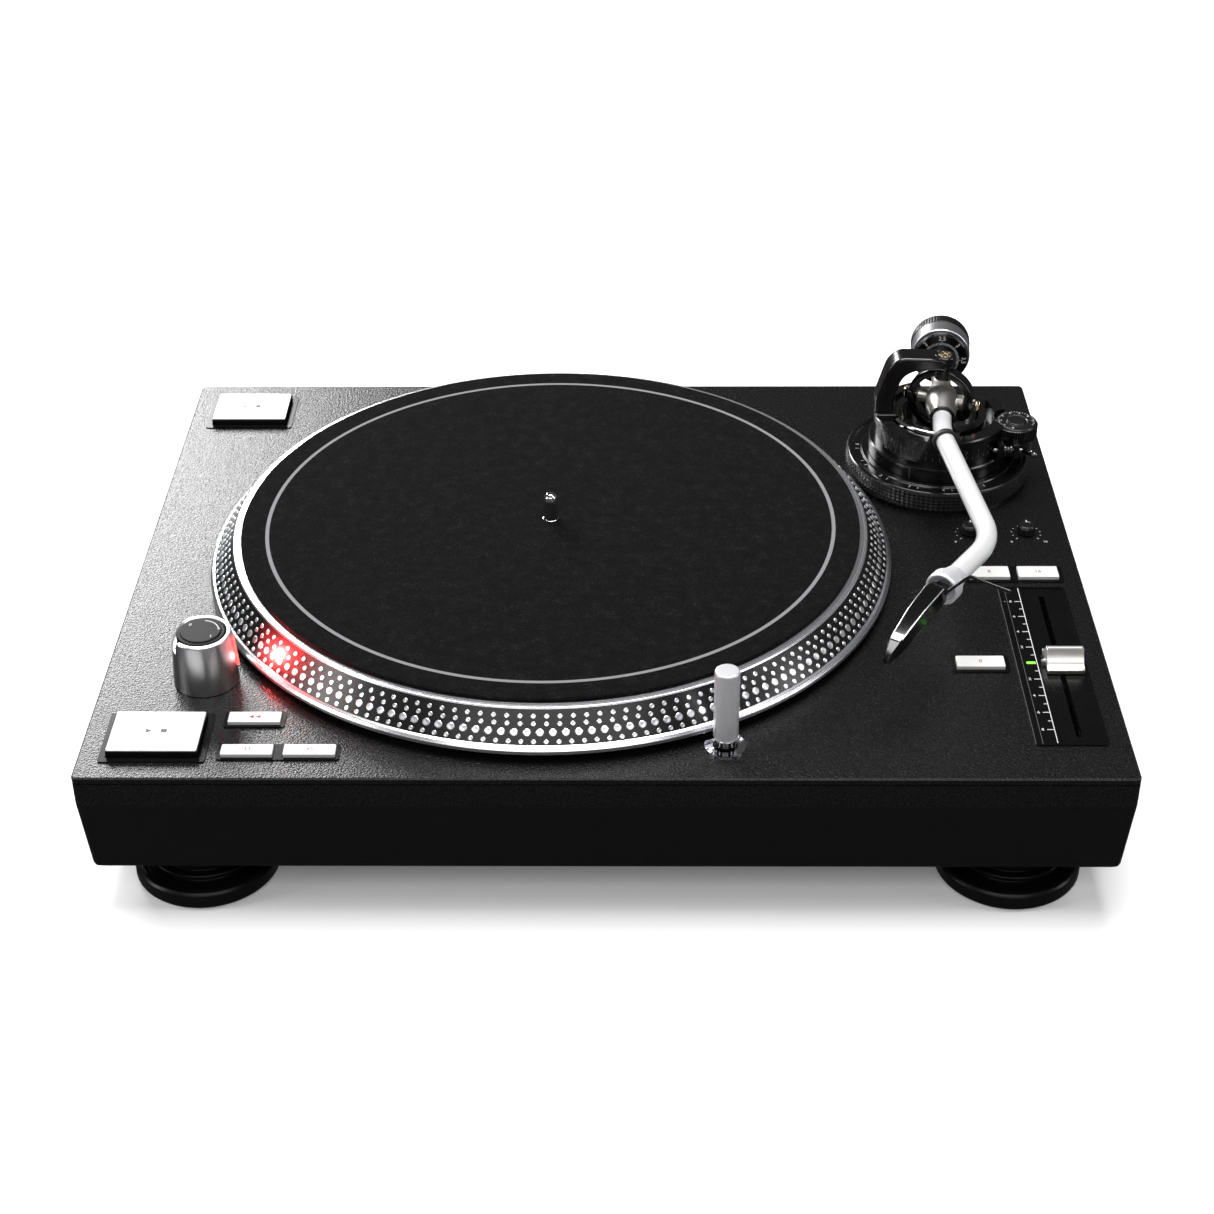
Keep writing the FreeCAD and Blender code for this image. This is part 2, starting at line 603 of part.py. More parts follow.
def power_knob():
    shaft = POWER_SHAFT_R - RUN
    profile = [(0, -PLATE_SKIN - 6), (shaft, -PLATE_SKIN - 6), (shaft, 3 + CLEAR),
               (POWER_KNOB_R, 3 + CLEAR), (POWER_KNOB_R, TOWER_HEIGHT),
               (POWER_KNOB_R - 0.8, TOWER_HEIGHT + 0.8),
               (0, TOWER_HEIGHT + 0.8)]
    return turned(profile, TOWER)


def target_light_guide():
    foot = -LIGHT_DROP - 9
    tube = ring(GUIDE_R, LIGHT_R + RUN, foot, 0, LIGHT)
    lip = ring(GUIDE_R + 1.6, LIGHT_R + RUN, 0, 0.8, LIGHT)
    return joined(tube, lip)


def target_light():
    profile = [(0, -8), (LIGHT_R, -8), (LIGHT_R, -5), (LIGHT_NECK_R, -5), (LIGHT_NECK_R, LIGHT_NECK),
               (LIGHT_R, LIGHT_NECK), (LIGHT_R, LIGHT_TOP - 0.8), (LIGHT_R - 0.8, LIGHT_TOP), (0, LIGHT_TOP)]
    window = box(0, LIGHT_R + 1, -2.6, 2.6, 28, 34)
    laid_along(window, LIGHT, 130)
    pocket = cylinder(LIGHT_R - 1.5, 27, 35, LIGHT)
    return turned(profile, LIGHT).cut(window.cut(pocket))


# ---------------------------------------------------------------- tonearm base
GIMBAL_CAVITY = GIMBAL_OUT + 2.0
BASE_RISE = 6.0             # height adjustment
BEAM_FRONT = PIVOT.y - 17.0
CUE_R = 1.6                 # cue lever's shaft
CUE_Y = BEAM_FRONT - 5.0
CUE_Z = 23.8
CUE_EARS = (PIVOT.x + 27.0, PIVOT.x + 35.0)
EAR_THICK = 3.0
CRADLE_STATION = 31.5       # ahead of the pivot
REAR_SWEEP = (26.0, 104.0)  # plan directions that the arm's tail passes over
LIFT_SWEEP = (202.0, 280.0)


def arm_socket():
    profile = [(COLUMN_R + RUN, -32), (ARM_HOLE_R, -32), (ARM_HOLE_R, 0),
               (RING_R - 1.5, 0), (RING_R - 1.5, 1),
               (ARM_HOLE_R, 1), (ARM_HOLE_R, 9), (COLUMN_R + RUN, 9)]
    return turned(profile, PIVOT)


def height_ring():
    bore = ARM_HOLE_R + RUN
    profile = [(bore, 1 + CLEAR), (RING_R - 0.6, 1 + CLEAR), (RING_R, 2), (RING_R, RING_TOP - 1.4),
               (RING_R - 0.7, RING_TOP - 0.6), (RING_R - 2.5, RING_TOP), (bore, RING_TOP)]
    return turned(profile, PIVOT)


def sector(radius, sweep, z0, z1):
    """Wedge of a round slab about the pivot, between two plan directions."""
    start, end = sweep
    wedge = Part.makeCylinder(radius, z1 - z0, V(), UP, end - start)
    wedge.rotate(V(), UP, start)
    wedge.translate(V(PIVOT.x, PIVOT.y, z0))
    return wedge


def arm_base():
    floor = PIVOT_HEIGHT - GIMBAL_OUT - 2
    step = RING_TOP + CLEAR
    profile = [(0, -26), (COLUMN_R, -26), (COLUMN_R, step), (ARM_HOLE_R, step), (ARM_HOLE_R, 19.4),
               (ARM_HOLE_R - 0.6, 20), (BASE_DRUM_R, 20), (BASE_DRUM_R, 30), (BASE_DISC_R, 30.6),
               (BASE_DISC_R, BASE_TOP - 0.6), (BASE_DISC_R - 0.6, BASE_TOP), (GIMBAL_CAVITY, BASE_TOP),
               (GIMBAL_CAVITY, floor), (3 + RUN, floor), (3 + RUN, floor - 6), (0, floor - 6)]
    base = turned(profile, PIVOT)
    groove = ring(LIFT_R + 2, LIFT_R - 2, BASE_TOP - 5, BASE_TOP + 1, PIVOT)
    post_hole = cylinder(2 + RUN, BASE_TOP - 20, BASE_TOP, lift_post())
    beam = box(PIVOT.x + 20, ANTISKATE.x, BEAM_FRONT, PIVOT.y + 1, 20, 28)
    boss = cylinder(9.0, 16, 24 - CLEAR, ANTISKATE)
    knob_space = cylinder(ANTISKATE_R + CLEAR, 24 - CLEAR, BASE_TOP + 1, ANTISKATE)
    ears = [box(x, x + EAR_THICK, CUE_Y - 3, BEAM_FRONT + 2, CUE_Z - 3, 28) for x in CUE_EARS]
    tail_space = sector(BASE_DISC_R + 5, REAR_SWEEP, PIVOT_HEIGHT - 13.0, BASE_TOP + 1)
    knob_hole = cylinder(2 + RUN, 17, 25, ANTISKATE)
    cue_hole = rod(CUE_R + RUN, V(CUE_EARS[0] - 3, CUE_Y, CUE_Z), V(CUE_EARS[1] + 5, CUE_Y, CUE_Z))
    base = joined(base.cut(groove), beam, boss, cradle(), *ears)
    return cut_all(base, [tail_space, post_hole, knob_space, knob_hole, cue_hole])


def lift_post():
    return PIVOT + heading(215) * LIFT_R


def cradle_centre():
    return PIVOT + heading(LEG_HEADINGS[0]) * CRADLE_STATION


def cradle():
    at = cradle_centre()
    half = 2.5
    wall = at.x + TUBE_R + 0.9
    floor = box(at.x - 5.5, wall + 3, at.y - half, at.y + half, BASE_TOP - 4, 36)
    side = box(wall, wall + 3, at.y - half, at.y + half, BASE_TOP - 4, PIVOT_HEIGHT - 1)
    return joined(floor, side)


def latch_axis():
    at = cradle_centre()
    return V(at.x + TUBE_R + 2.4, at.y, PIVOT_HEIGHT + 0.9)


def rest_latch():
    """Clip that folds over the tube; stored open, leaning away from the tube."""
    centre = tube_axis_at_cradle()
    inner, outer = TUBE_R + 0.6, TUBE_R + 2.2
    band = rod(outer, centre + V(0, -2.4, 0), centre + V(0, 2.4, 0))
    band = band.cut(rod(inner, centre + V(0, -3, 0), centre + V(0, 3, 0)))
    keep = flat_face([(centre.x, centre.y - 3, centre.z), (centre.x + 20, centre.y - 3, centre.z),
                      (centre.x + 20, centre.y - 3, centre.z + 20), (centre.x - 14, centre.y - 3, centre.z + 20),
                      (centre.x - 14, centre.y - 3, centre.z + 7)]).extrude(V(0, 6, 0))
    hinge = latch_axis()
    knuckle = rod(1.3, hinge + V(0, -2.4, 0), hinge + V(0, 2.4, 0))
    clip = joined(band.common(keep), knuckle)
    clip.rotate(hinge, V(0, 1, 0), 105)
    return clip


def tube_axis_at_cradle():
    at = cradle_centre()
    rise = CRADLE_STATION * math.tan(math.radians(ARM_TILT))
    return V(at.x, at.y, PIVOT_HEIGHT + rise)


def yoke():
    half = 6.5
    top = PIVOT_HEIGHT + 26.0
    inner_top = PIVOT_HEIGHT + 18.7
    left = PIVOT.x - 34.3
    outline = [(left, BASE_TOP), (left, 43), (left + 8, top - 3), (left + 14, top), (PIVOT.x, top - 2),
               (PIVOT.x, inner_top), (left + 17, inner_top), (left + 9.5, 42), (left + 9.5, BASE_TOP)]
    arch = flat_face([(x, PIVOT.y - half, z) for x, z in outline]).extrude(V(0, 2 * half, 0))
    disc = cylinder(BASE_DISC_R + 0.3, BASE_TOP, top, PIVOT)
    head = cylinder(5.4, PIVOT_HEIGHT + GIMBAL_OUT + 0.5, top - 2, PIVOT)
    arch = arch.common(disc).cut(cylinder(3.8, top - 2, top + 1, PIVOT))
    bore = cylinder(2.5 + RUN, PIVOT_HEIGHT, PIVOT_HEIGHT + GIMBAL_OUT + 4 + CLEAR, PIVOT)
    screw = cylinder(3.0, PIVOT_HEIGHT + GIMBAL_OUT + 4 + CLEAR, top + 5, PIVOT)
    return cut_all(joined(arch, head), [bore, screw])


def yoke_pivot_screw():
    low = PIVOT_HEIGHT + GIMBAL_OUT + 4 + CLEAR
    top = PIVOT_HEIGHT + 24.0
    screw = joined(cylinder(3.0, low, top, PIVOT), cylinder(3.8, top, top + 1.0, PIVOT))
    slot = box(PIVOT.x - 3.8, PIVOT.x + 3.8, PIVOT.y - 0.4, PIVOT.y + 0.4, top, top + 2)
    return screw.cut(slot)


def antiskate_knob():
    profile = [(0, 18), (2, 18), (2, 24), (ANTISKATE_R, 24), (ANTISKATE_R, 32.4), (ANTISKATE_R - 0.6, 33),
               (5.5, 33), (5.0, 32.4), (0, 32.4)]
    return turned(profile, ANTISKATE)


def cue_lever():
    start = V(CUE_EARS[0] - 2, CUE_Y, CUE_Z)
    elbow = V(CUE_EARS[1] + 5.5, CUE_Y, CUE_Z)
    tip = elbow + V(4, -9, 2.5)
    hub = rod(3.0, V(CUE_EARS[0] + EAR_THICK + CLEAR, CUE_Y, CUE_Z), V(CUE_EARS[1] - CLEAR, CUE_Y, CUE_Z))
    knee = Part.makeSphere(CUE_R, elbow)
    ball = Part.makeSphere(2.0, tip)
    return joined(rod(CUE_R, start, elbow), hub, knee, rod(CUE_R, elbow, tip), ball)


def lift_platform():
    low, high = BASE_TOP - 0.4, 36.3
    arc = ring(LIFT_R + 1.5, LIFT_R - 1.5, low, high, PIVOT)
    arc = arc.common(sector(LIFT_R + 10, LIFT_SWEEP, low - 1, high + 1))
    return joined(arc, cylinder(2.0, BASE_TOP - 14, high - 0.6, lift_post()))


# ---------------------------------------------------------------- gimbal and arm
EAR_REACH = math.sqrt(GIMBAL_IN ** 2 - EAR_R ** 2) - CLEAR


def gimbal_ring():
    bearing, across = heading(GIMBAL_HEADING), heading(GIMBAL_HEADING + 90)
    half = across * (GIMBAL_THICK / 2)
    hoop = rod(GIMBAL_OUT, PIVOT - half, PIVOT + half)
    hoop = hoop.cut(rod(GIMBAL_IN, PIVOT - half * 1.5, PIVOT + half * 1.5))
    top_pin = cylinder(2.5, PIVOT_HEIGHT + GIMBAL_IN + 1, PIVOT_HEIGHT + GIMBAL_OUT + 4, PIVOT)
    low_pin = cylinder(3.0, PIVOT_HEIGHT - GIMBAL_OUT - 7, PIVOT_HEIGHT - GIMBAL_IN - 1, PIVOT)
    near, far = bearing * (GIMBAL_IN + 0.5), bearing * (GIMBAL_OUT + 1.2)
    bosses = [rod(4.0, PIVOT + near * side, PIVOT + far * side) for side in (-1, 1)]
    bore = rod(GIMBAL_SCREW_R, PIVOT - bearing * (2 * GIMBAL_OUT), PIVOT + bearing * (2 * GIMBAL_OUT))
    hoop = joined(hoop, *bosses).cut(bore)
    return joined(hoop, top_pin, low_pin)


def gimbal_screws():
    bearing = heading(GIMBAL_HEADING)
    screws = []
    for side in (-1, 1):
        inner = PIVOT + bearing * (side * (EAR_REACH + RUN))
        end = PIVOT + bearing * (side * (GIMBAL_OUT + 1.7))
        screws.append(rod(GIMBAL_SCREW_R, inner, end))
    return Part.makeCompound(screws)


def pivot_housing():
    bullet = turned_along([(-30, 0), (-30, STUB_R), (-11, STUB_R), (-9, 6.2), (-4, 7.6), (2, HOUSING_R),
                           (9, 7.9), (16, 7.0), (HOUSING_FRONT, 5.9), (HOUSING_FRONT, 0)])
    stub = turned_along([(-WEIGHT_FRONT - 17.5, 0), (-WEIGHT_FRONT - 17.5, STUB_R), (-29, STUB_R), (-29, 0)])
    bullet = laid_along(joined(bullet, stub), PIVOT, LEG_HEADINGS[0])
    ear = heading(GIMBAL_HEADING) * EAR_REACH
    ears = rod(EAR_R, PIVOT - ear, PIVOT + ear)
    return tilted(joined(bullet, ears))


def arm_corners():
    points = [PIVOT]
    for degrees, length in zip(LEG_HEADINGS, LEG_LENGTHS):
        points.append(points[-1] + heading(degrees) * length)
    return points


def bend(corner, before, after, radius):
    """Start, middle and end of the arc that rounds a corner between two plan headings."""
    turn = math.radians(after - before)
    reach = radius * math.tan(abs(turn) / 2)
    start = corner - heading(before) * reach
    end = corner + heading(after) * reach
    inward = (heading(after) - heading(before)).normalize()
    middle = corner + inward * (radius / math.cos(turn / 2) - radius)
    return start, middle, end


def tube_path(first_station, last_station):
    points = arm_corners()
    path_start = PIVOT + heading(LEG_HEADINGS[0]) * first_station
    path_end = points[2] + heading(LEG_HEADINGS[2]) * last_station
    first = bend(points[1], LEG_HEADINGS[0], LEG_HEADINGS[1], BEND_RADII[0])
    second = bend(points[2], LEG_HEADINGS[1], LEG_HEADINGS[2], BEND_RADII[1])
    edges = [Part.LineSegment(path_start, first[0]), Part.Arc(*first), Part.LineSegment(first[2], second[0]),
             Part.Arc(*second), Part.LineSegment(second[2], path_end)]
    return Part.Wire([edge.toShape() for edge in edges])


COLLAR_START = LEG_LENGTHS[2] - CARTRIDGE_LENGTH - COLLAR_LENGTH


def arm_tube():
    path = tube_path(HOUSING_FRONT, COLLAR_START)
    start = PIVOT + heading(LEG_HEADINGS[0]) * HOUSING_FRONT
    section = Part.Wire([Part.Circle(start, heading(LEG_HEADINGS[0]), TUBE_R).toShape()])
    tube = path.makePipeShell([section], True, True)
    solid = Part.Solid(tube) if tube.ShapeType == "Shell" else tube
    plug = Part.makeCylinder(TUBE_R - 1.2, COLLAR_LENGTH, V(), V(1, 0, 0))
    plug = laid_along(plug, last_leg(COLLAR_START), LEG_HEADINGS[2])
    return tilted(joined(solid, plug))


def last_leg(station):
    return arm_corners()[2] + heading(LEG_HEADINGS[2]) * station


def locking_collar():
    bore = TUBE_R - 1.2 + RUN
    length = COLLAR_LENGTH - 0.1
    rear, waist = COLLAR_R - 2.4, COLLAR_R - 1.6
    profile = [(CLEAR, bore), (CLEAR, rear), (3.0, rear), (3.6, waist), (6.5, waist), (7.2, COLLAR_R),
               (length, COLLAR_R), (length, bore)]
    return tilted(laid_along(turned_along(profile), last_leg(COLLAR_START), LEG_HEADINGS[2]))


def cartridge():
    half = CARTRIDGE_W / 2
    side = [(0, 4.5), (8, 4.9), (24, 2.2), (42, -3.6), (50, -8.2), (51, -9.6), (49.5, -11), (40, -11.6),
            (31, -9.0), (20, -6.0), (8, -4.6), (0, -4.4)]
    body = flat_face([(station, -half, height) for station, height in side]).extrude(V(0, 2 * half, 0))
    plan = [(0, -half), (10, -half), (44, -half + 0.8), (51, -half + 2), (51, half - 2), (44, half - 0.8),
            (10, half), (0, half)]
    body = body.common(flat_face([(station, width, -20) for station, width in plan]).extrude(V(0, 0, 40)))
    origin = last_leg(COLLAR_START + COLLAR_LENGTH)
    return tilted(laid_along(body, origin, LEG_HEADINGS[2]))


def stylus():
    at = CARTRIDGE_LENGTH
    side = [(at - 11, -11.4), (at - 1.5, -11.1), (at + 0.3, -13.4), (at - 0.3, -13.6),
            (at - 3, -12.6), (at - 11, -12.2)]
    body = flat_face([(station, -0.9, height) for station, height in side]).extrude(V(0, 1.8, 0))
    origin = last_leg(COLLAR_START + COLLAR_LENGTH)
    body = tilted(laid_along(body, origin, LEG_HEADINGS[2]))
    return body.cut(cartridge())


def finger_lift():
    """Bent wire, from a flat tab on the cartridge's right-hand side."""
    wire_r = 0.8
    points = [V(4, CARTRIDGE_W / 2, 1.5), V(-2.8, 11.7, 10), V(-1.2, 31.6, 10)]
    pieces = [rod(wire_r, points[0], points[1]), Part.makeSphere(wire_r, points[1]),
              rod(wire_r, points[1], points[2]), Part.makeSphere(wire_r, points[2])]
    lift = joined(*pieces)
    lift = lift.cut(box(-5, 30, -20, CARTRIDGE_W / 2, -10, 10))
    return tilted(laid_along(lift, last_leg(COLLAR_START + COLLAR_LENGTH), LEG_HEADINGS[2]))


def behind(profile):
    return tilted(laid_along(turned_along(profile), PIVOT, LEG_HEADINGS[0] + 180))


def hollow_drum(front, back, inner, outer, edge=0.6):
    return [(front, inner), (front, outer - edge), (front + edge, outer), (back - edge, outer),
            (back, outer - edge), (back, inner)]


def weight_bush():
    return behind(hollow_drum(WEIGHT_FRONT + 1, WEIGHT_FRONT + DIAL_THICK + WEIGHT_LENGTH - 1,
                              STUB_R + RUN, BUSH_R, 0.3))


def counterweight():
    front = WEIGHT_FRONT + DIAL_THICK + CLEAR
    return behind(hollow_drum(front, front + WEIGHT_LENGTH, BUSH_R + RUN, WEIGHT_R))


def force_dial():
    return behind(hollow_drum(WEIGHT_FRONT, WEIGHT_FRONT + DIAL_THICK, BUSH_R + RUN, DIAL_R))


# ---------------------------------------------------------------- build
PIECES = (
    top_plate, base_tub, bottom_cover, cover_screws, phono_sockets, power_inlet, power_board,
    power_transformer, motor_board, stator_core, stator_coils, bearing_sleeve, spindle, platter,
    rotor_magnet, slipmat, button_bezels, control_boards, fader_panel, fader_body, pitch_fader_knob,
    strobe_tower, strobe_lamp, power_knob, target_light_guide, target_light, arm_socket,
    height_ring, arm_base, rest_latch, yoke, yoke_pivot_screw, antiskate_knob, cue_lever, lift_platform,
    gimbal_ring, gimbal_screws, pivot_housing, arm_tube, locking_collar, cartridge, stylus, finger_lift,
    weight_bush, counterweight, force_dial,
)

os.makedirs("parts", exist_ok=True)
for piece in PIECES:
    save(piece.__name__, piece())
for name in BUTTONS:
    save(name, button_cap(name))
for name, at in FEET.items():
    save(name, foot(at))
for name, at in TRIM_KNOBS.items():
    save(name, trim_knob(at))
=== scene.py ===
"""Looks of the record player: smooth detailed pieces and materials around the CAD frame."""
import bpy
import bmesh
import json
import math
from mathutils import Matrix, Vector
from mathutils import noise as field

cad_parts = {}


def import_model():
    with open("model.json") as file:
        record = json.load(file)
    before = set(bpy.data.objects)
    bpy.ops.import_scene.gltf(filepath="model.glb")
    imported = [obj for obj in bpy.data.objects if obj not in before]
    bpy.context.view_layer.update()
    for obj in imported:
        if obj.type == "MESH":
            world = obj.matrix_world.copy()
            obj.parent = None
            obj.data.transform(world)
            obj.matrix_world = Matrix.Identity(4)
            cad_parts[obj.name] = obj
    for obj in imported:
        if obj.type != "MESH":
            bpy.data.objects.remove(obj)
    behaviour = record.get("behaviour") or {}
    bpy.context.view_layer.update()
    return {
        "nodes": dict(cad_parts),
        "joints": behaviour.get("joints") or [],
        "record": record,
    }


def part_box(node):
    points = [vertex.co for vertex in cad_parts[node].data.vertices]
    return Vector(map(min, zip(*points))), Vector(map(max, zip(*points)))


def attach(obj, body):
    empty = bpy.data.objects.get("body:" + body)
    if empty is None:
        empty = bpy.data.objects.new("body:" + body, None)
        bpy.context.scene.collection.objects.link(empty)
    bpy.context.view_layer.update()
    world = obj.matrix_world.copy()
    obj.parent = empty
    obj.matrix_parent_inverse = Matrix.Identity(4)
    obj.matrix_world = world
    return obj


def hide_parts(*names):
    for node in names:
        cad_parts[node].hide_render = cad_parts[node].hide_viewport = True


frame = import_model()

MM = 0.001
NODES = frame["nodes"]
JOINTS = {joint["name"]: joint for joint in frame["joints"]}
UP = Vector((0, 0, 1))


# ------------------------------------------------------------------ places read from the frame
def low(node):
    return Vector(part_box(node)[0]) / MM


def high(node):
    return Vector(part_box(node)[1]) / MM


def middle(node):
    return (low(node) + high(node)) / 2


def joint_point(name):
    return Vector(JOINTS[name]["pos_m"]) / MM


def joint_axis(name):
    return Vector(JOINTS[name]["axis"]).normalized()


DECK = high("top_plate").z                     # top surface of the casing, in millimetres
PLATTER = joint_point("platter_spin")
PIVOT = joint_point("arm_swing")
TOWER = joint_point("power_knob_turn")
ANTISKATE = joint_point("antiskate_turn")
REAR_AXIS = joint_axis("weight_turn")          # from the pivot back through the counterweight


# ------------------------------------------------------------------ node graph helpers
def new_material(name):
    material = bpy.data.materials.new(name)
    material.use_nodes = True
    tree = material.node_tree
    shader = tree.nodes["Principled BSDF"]
    return material, tree, shader


def node(tree, kind, **settings):
    made = tree.nodes.new(kind)
    for key, value in settings.items():
        if key in made.inputs:
            made.inputs[key].default_value = value
        else:
            setattr(made, key, value)
    return made


def object_coordinates(tree, stretch=(1.0, 1.0, 1.0), centre=(0.0, 0.0, 0.0)):
    """Coordinates in millimetres from a centre, stretched per axis."""
    coordinates = node(tree, "ShaderNodeTexCoord")
    mapping = node(tree, "ShaderNodeMapping")
    mapping.inputs["Scale"].default_value = [value / MM for value in stretch]
    mapping.inputs["Location"].default_value = [-place * value for place, value in zip(centre, stretch)]
    tree.links.new(coordinates.outputs["Object"], mapping.inputs["Vector"])
    return mapping.outputs["Vector"]


def noise(tree, vector, scale, detail=3.0, roughness=0.5):
    made = node(tree, "ShaderNodeTexNoise", Scale=scale, Detail=detail, Roughness=roughness)
    tree.links.new(vector, made.inputs["Vector"])
    return made.outputs["Fac"]


def ramp(tree, factor, stops):
    """Colour ramp; stops are (position, grey or colour)."""
    made = node(tree, "ShaderNodeValToRGB")
    elements = made.color_ramp.elements
    while len(elements) < len(stops):
        elements.new(0.5)
    for element, (position, value) in zip(elements, stops):
        element.position = position
        colour = value if isinstance(value, tuple) else (value, value, value)
        element.color = (*colour, 1.0)
    tree.links.new(factor, made.inputs["Fac"])
    return made.outputs["Color"]


def bump(tree, shader, height, strength, distance, before=None):
    made = node(tree, "ShaderNodeBump", Strength=strength, Distance=distance * MM)
    tree.links.new(height, made.inputs["Height"])
    if before is not None:
        tree.links.new(before, made.inputs["Normal"])
    tree.links.new(made.outputs["Normal"], shader.inputs["Normal"])
    return made.outputs["Normal"]


def grey(value):
    return (value, value, value * 1.03)


def finish_material(name, colour, colour_2, roughness, metallic=0.0, grain=1.0, wear=0.3,
                    bump_strength=0.1, bump_depth=0.05, stretch=(1.0, 1.0, 1.0), spread=0.08,
                    coat=0.0, specular=0.5):
    """Mottled base colour, uneven roughness and a fine bump, at a grain size in millimetres."""
    material, tree, shader = new_material(name)
    vector = object_coordinates(tree, stretch)
    fine = noise(tree, vector, 1.0 / grain, 4.0, 0.6)
    broad = noise(tree, vector, 1.0 / (grain * 22.0), 2.0, 0.5)
    mix = node(tree, "ShaderNodeMath", operation="MULTIPLY_ADD")
    tree.links.new(broad, mix.inputs[0])
    mix.inputs[1].default_value = wear
    tree.links.new(fine, mix.inputs[2])
    tree.links.new(ramp(tree, mix.outputs[0], [(0.3, colour), (0.85, colour_2)]), shader.inputs["Base Color"])
    rough = ramp(tree, mix.outputs[0], [(0.3, max(roughness - spread, 0.02)), (0.9, min(roughness + spread,
                                                                                        1.0))])
    tree.links.new(rough, shader.inputs["Roughness"])
    shader.inputs["Metallic"].default_value = metallic
    shader.inputs["Coat Weight"].default_value = coat
    shader.inputs["Coat Roughness"].default_value = 0.08
    shader.inputs["Specular IOR Level"].default_value = specular
    if bump_strength > 0:
        bump(tree, shader, fine, bump_strength, bump_depth)
    return material


# ------------------------------------------------------------------ materials
def cast_paint():
    """Fine pebbled black paint of the top plate, with small glints."""
    material, tree, shader = new_material("black_cast_paint")
    vector = object_coordinates(tree)
    pebble = node(tree, "ShaderNodeTexVoronoi", Scale=0.95, Randomness=1.0)
    pebble.feature = "SMOOTH_F1"
    pebble.inputs["Smoothness"].default_value = 0.5
    tree.links.new(vector, pebble.inputs["Vector"])
    fine = noise(tree, vector, 1.1, 3.0, 0.6)
    tree.links.new(ramp(tree, fine, [(0.3, grey(0.0025)), (0.8, grey(0.0065))]), shader.inputs["Base Color"])
    tree.links.new(ramp(tree, fine, [(0.3, 0.20), (0.75, 0.34)]), shader.inputs["Roughness"])
    shader.inputs["Specular IOR Level"].default_value = 0.36
    first = bump(tree, shader, pebble.outputs["Distance"], 0.7, 0.17)
    bump(tree, shader, fine, 0.8, 0.22, first)
    return material


def turned_metal(name, colour, colour_2, roughness, centre, line=0.35):
    """Lathe-turned metal: fine rings about an upright axis."""
    material, tree, shader = new_material(name)
    vector = object_coordinates(tree, (1, 1, 0), centre)
    length = node(tree, "ShaderNodeVectorMath", operation="LENGTH")
    tree.links.new(vector, length.inputs[0])
    rings = node(tree, "ShaderNodeTexNoise", Scale=1.0 / line, Detail=3.0)
    rings.noise_dimensions = "1D"
    tree.links.new(length.outputs["Value"], rings.inputs["W"])
    tree.links.new(ramp(tree, rings.outputs["Fac"], [(0.3, colour), (0.7, colour_2)]),
                   shader.inputs["Base Color"])
    tree.links.new(ramp(tree, rings.outputs["Fac"], [(0.3, roughness - 0.05), (0.7, roughness + 0.07)]),
                   shader.inputs["Roughness"])
    shader.inputs["Metallic"].default_value = 1.0
    bump(tree, shader, rings.outputs["Fac"], 0.25, 0.03)
    return material


def felt():
    """Black felt: matted fibres, a soft sheen and light lint."""
    material, tree, shader = new_material("felt")
    vector = object_coordinates(tree)
    fibre = noise(tree, vector, 1.3, 5.0, 0.8)
    clump = noise(tree, vector, 0.16, 3.0, 0.6)
    strand = node(tree, "ShaderNodeTexVoronoi", Scale=1.1, Randomness=1.0)
    strand.feature = "DISTANCE_TO_EDGE"
    tree.links.new(vector, strand.inputs["Vector"])
    mix = node(tree, "ShaderNodeMath", operation="MULTIPLY_ADD")
    tree.links.new(clump, mix.inputs[0])
    mix.inputs[1].default_value = 0.3
    tree.links.new(fibre, mix.inputs[2])
    tree.links.new(ramp(tree, mix.outputs[0], [(0.5, grey(0.001)), (0.72, grey(0.004)), (0.95, grey(0.032))]),
                   shader.inputs["Base Color"])
    shader.inputs["Roughness"].default_value = 0.95
    shader.inputs["Specular IOR Level"].default_value = 0.04
    shader.inputs["Sheen Weight"].default_value = 0.012
    shader.inputs["Sheen Roughness"].default_value = 0.5
    first = bump(tree, shader, strand.outputs["Distance"], 0.5, 0.2)
    bump(tree, shader, fibre, 0.8, 0.3, first)
    return material


def blackish(value, roughness, **extra):
    """Table entry of a black finish."""
    settings = dict(grain=0.7, bump_strength=0.06, bump_depth=0.02, spread=0.05)
    settings.update(extra)
    return grey(value), grey(value * 1.7), roughness, settings


def metal(colour, colour_2, roughness, grain, bump_strength, spread, **extra):
    """Table entry of a finely worked bare metal."""
    settings = dict(metallic=1.0, grain=grain, bump_strength=bump_strength, bump_depth=0.01, spread=spread)
    settings.update(extra)
    return colour, colour_2, roughness, settings


def print_ink(colour, colour_2, roughness, bump_strength, bump_depth, **extra):
    """Table entry of a printed mark."""
    return colour, colour_2, roughness, dict(grain=0.3, bump_strength=bump_strength, bump_depth=bump_depth,
                                             **extra)


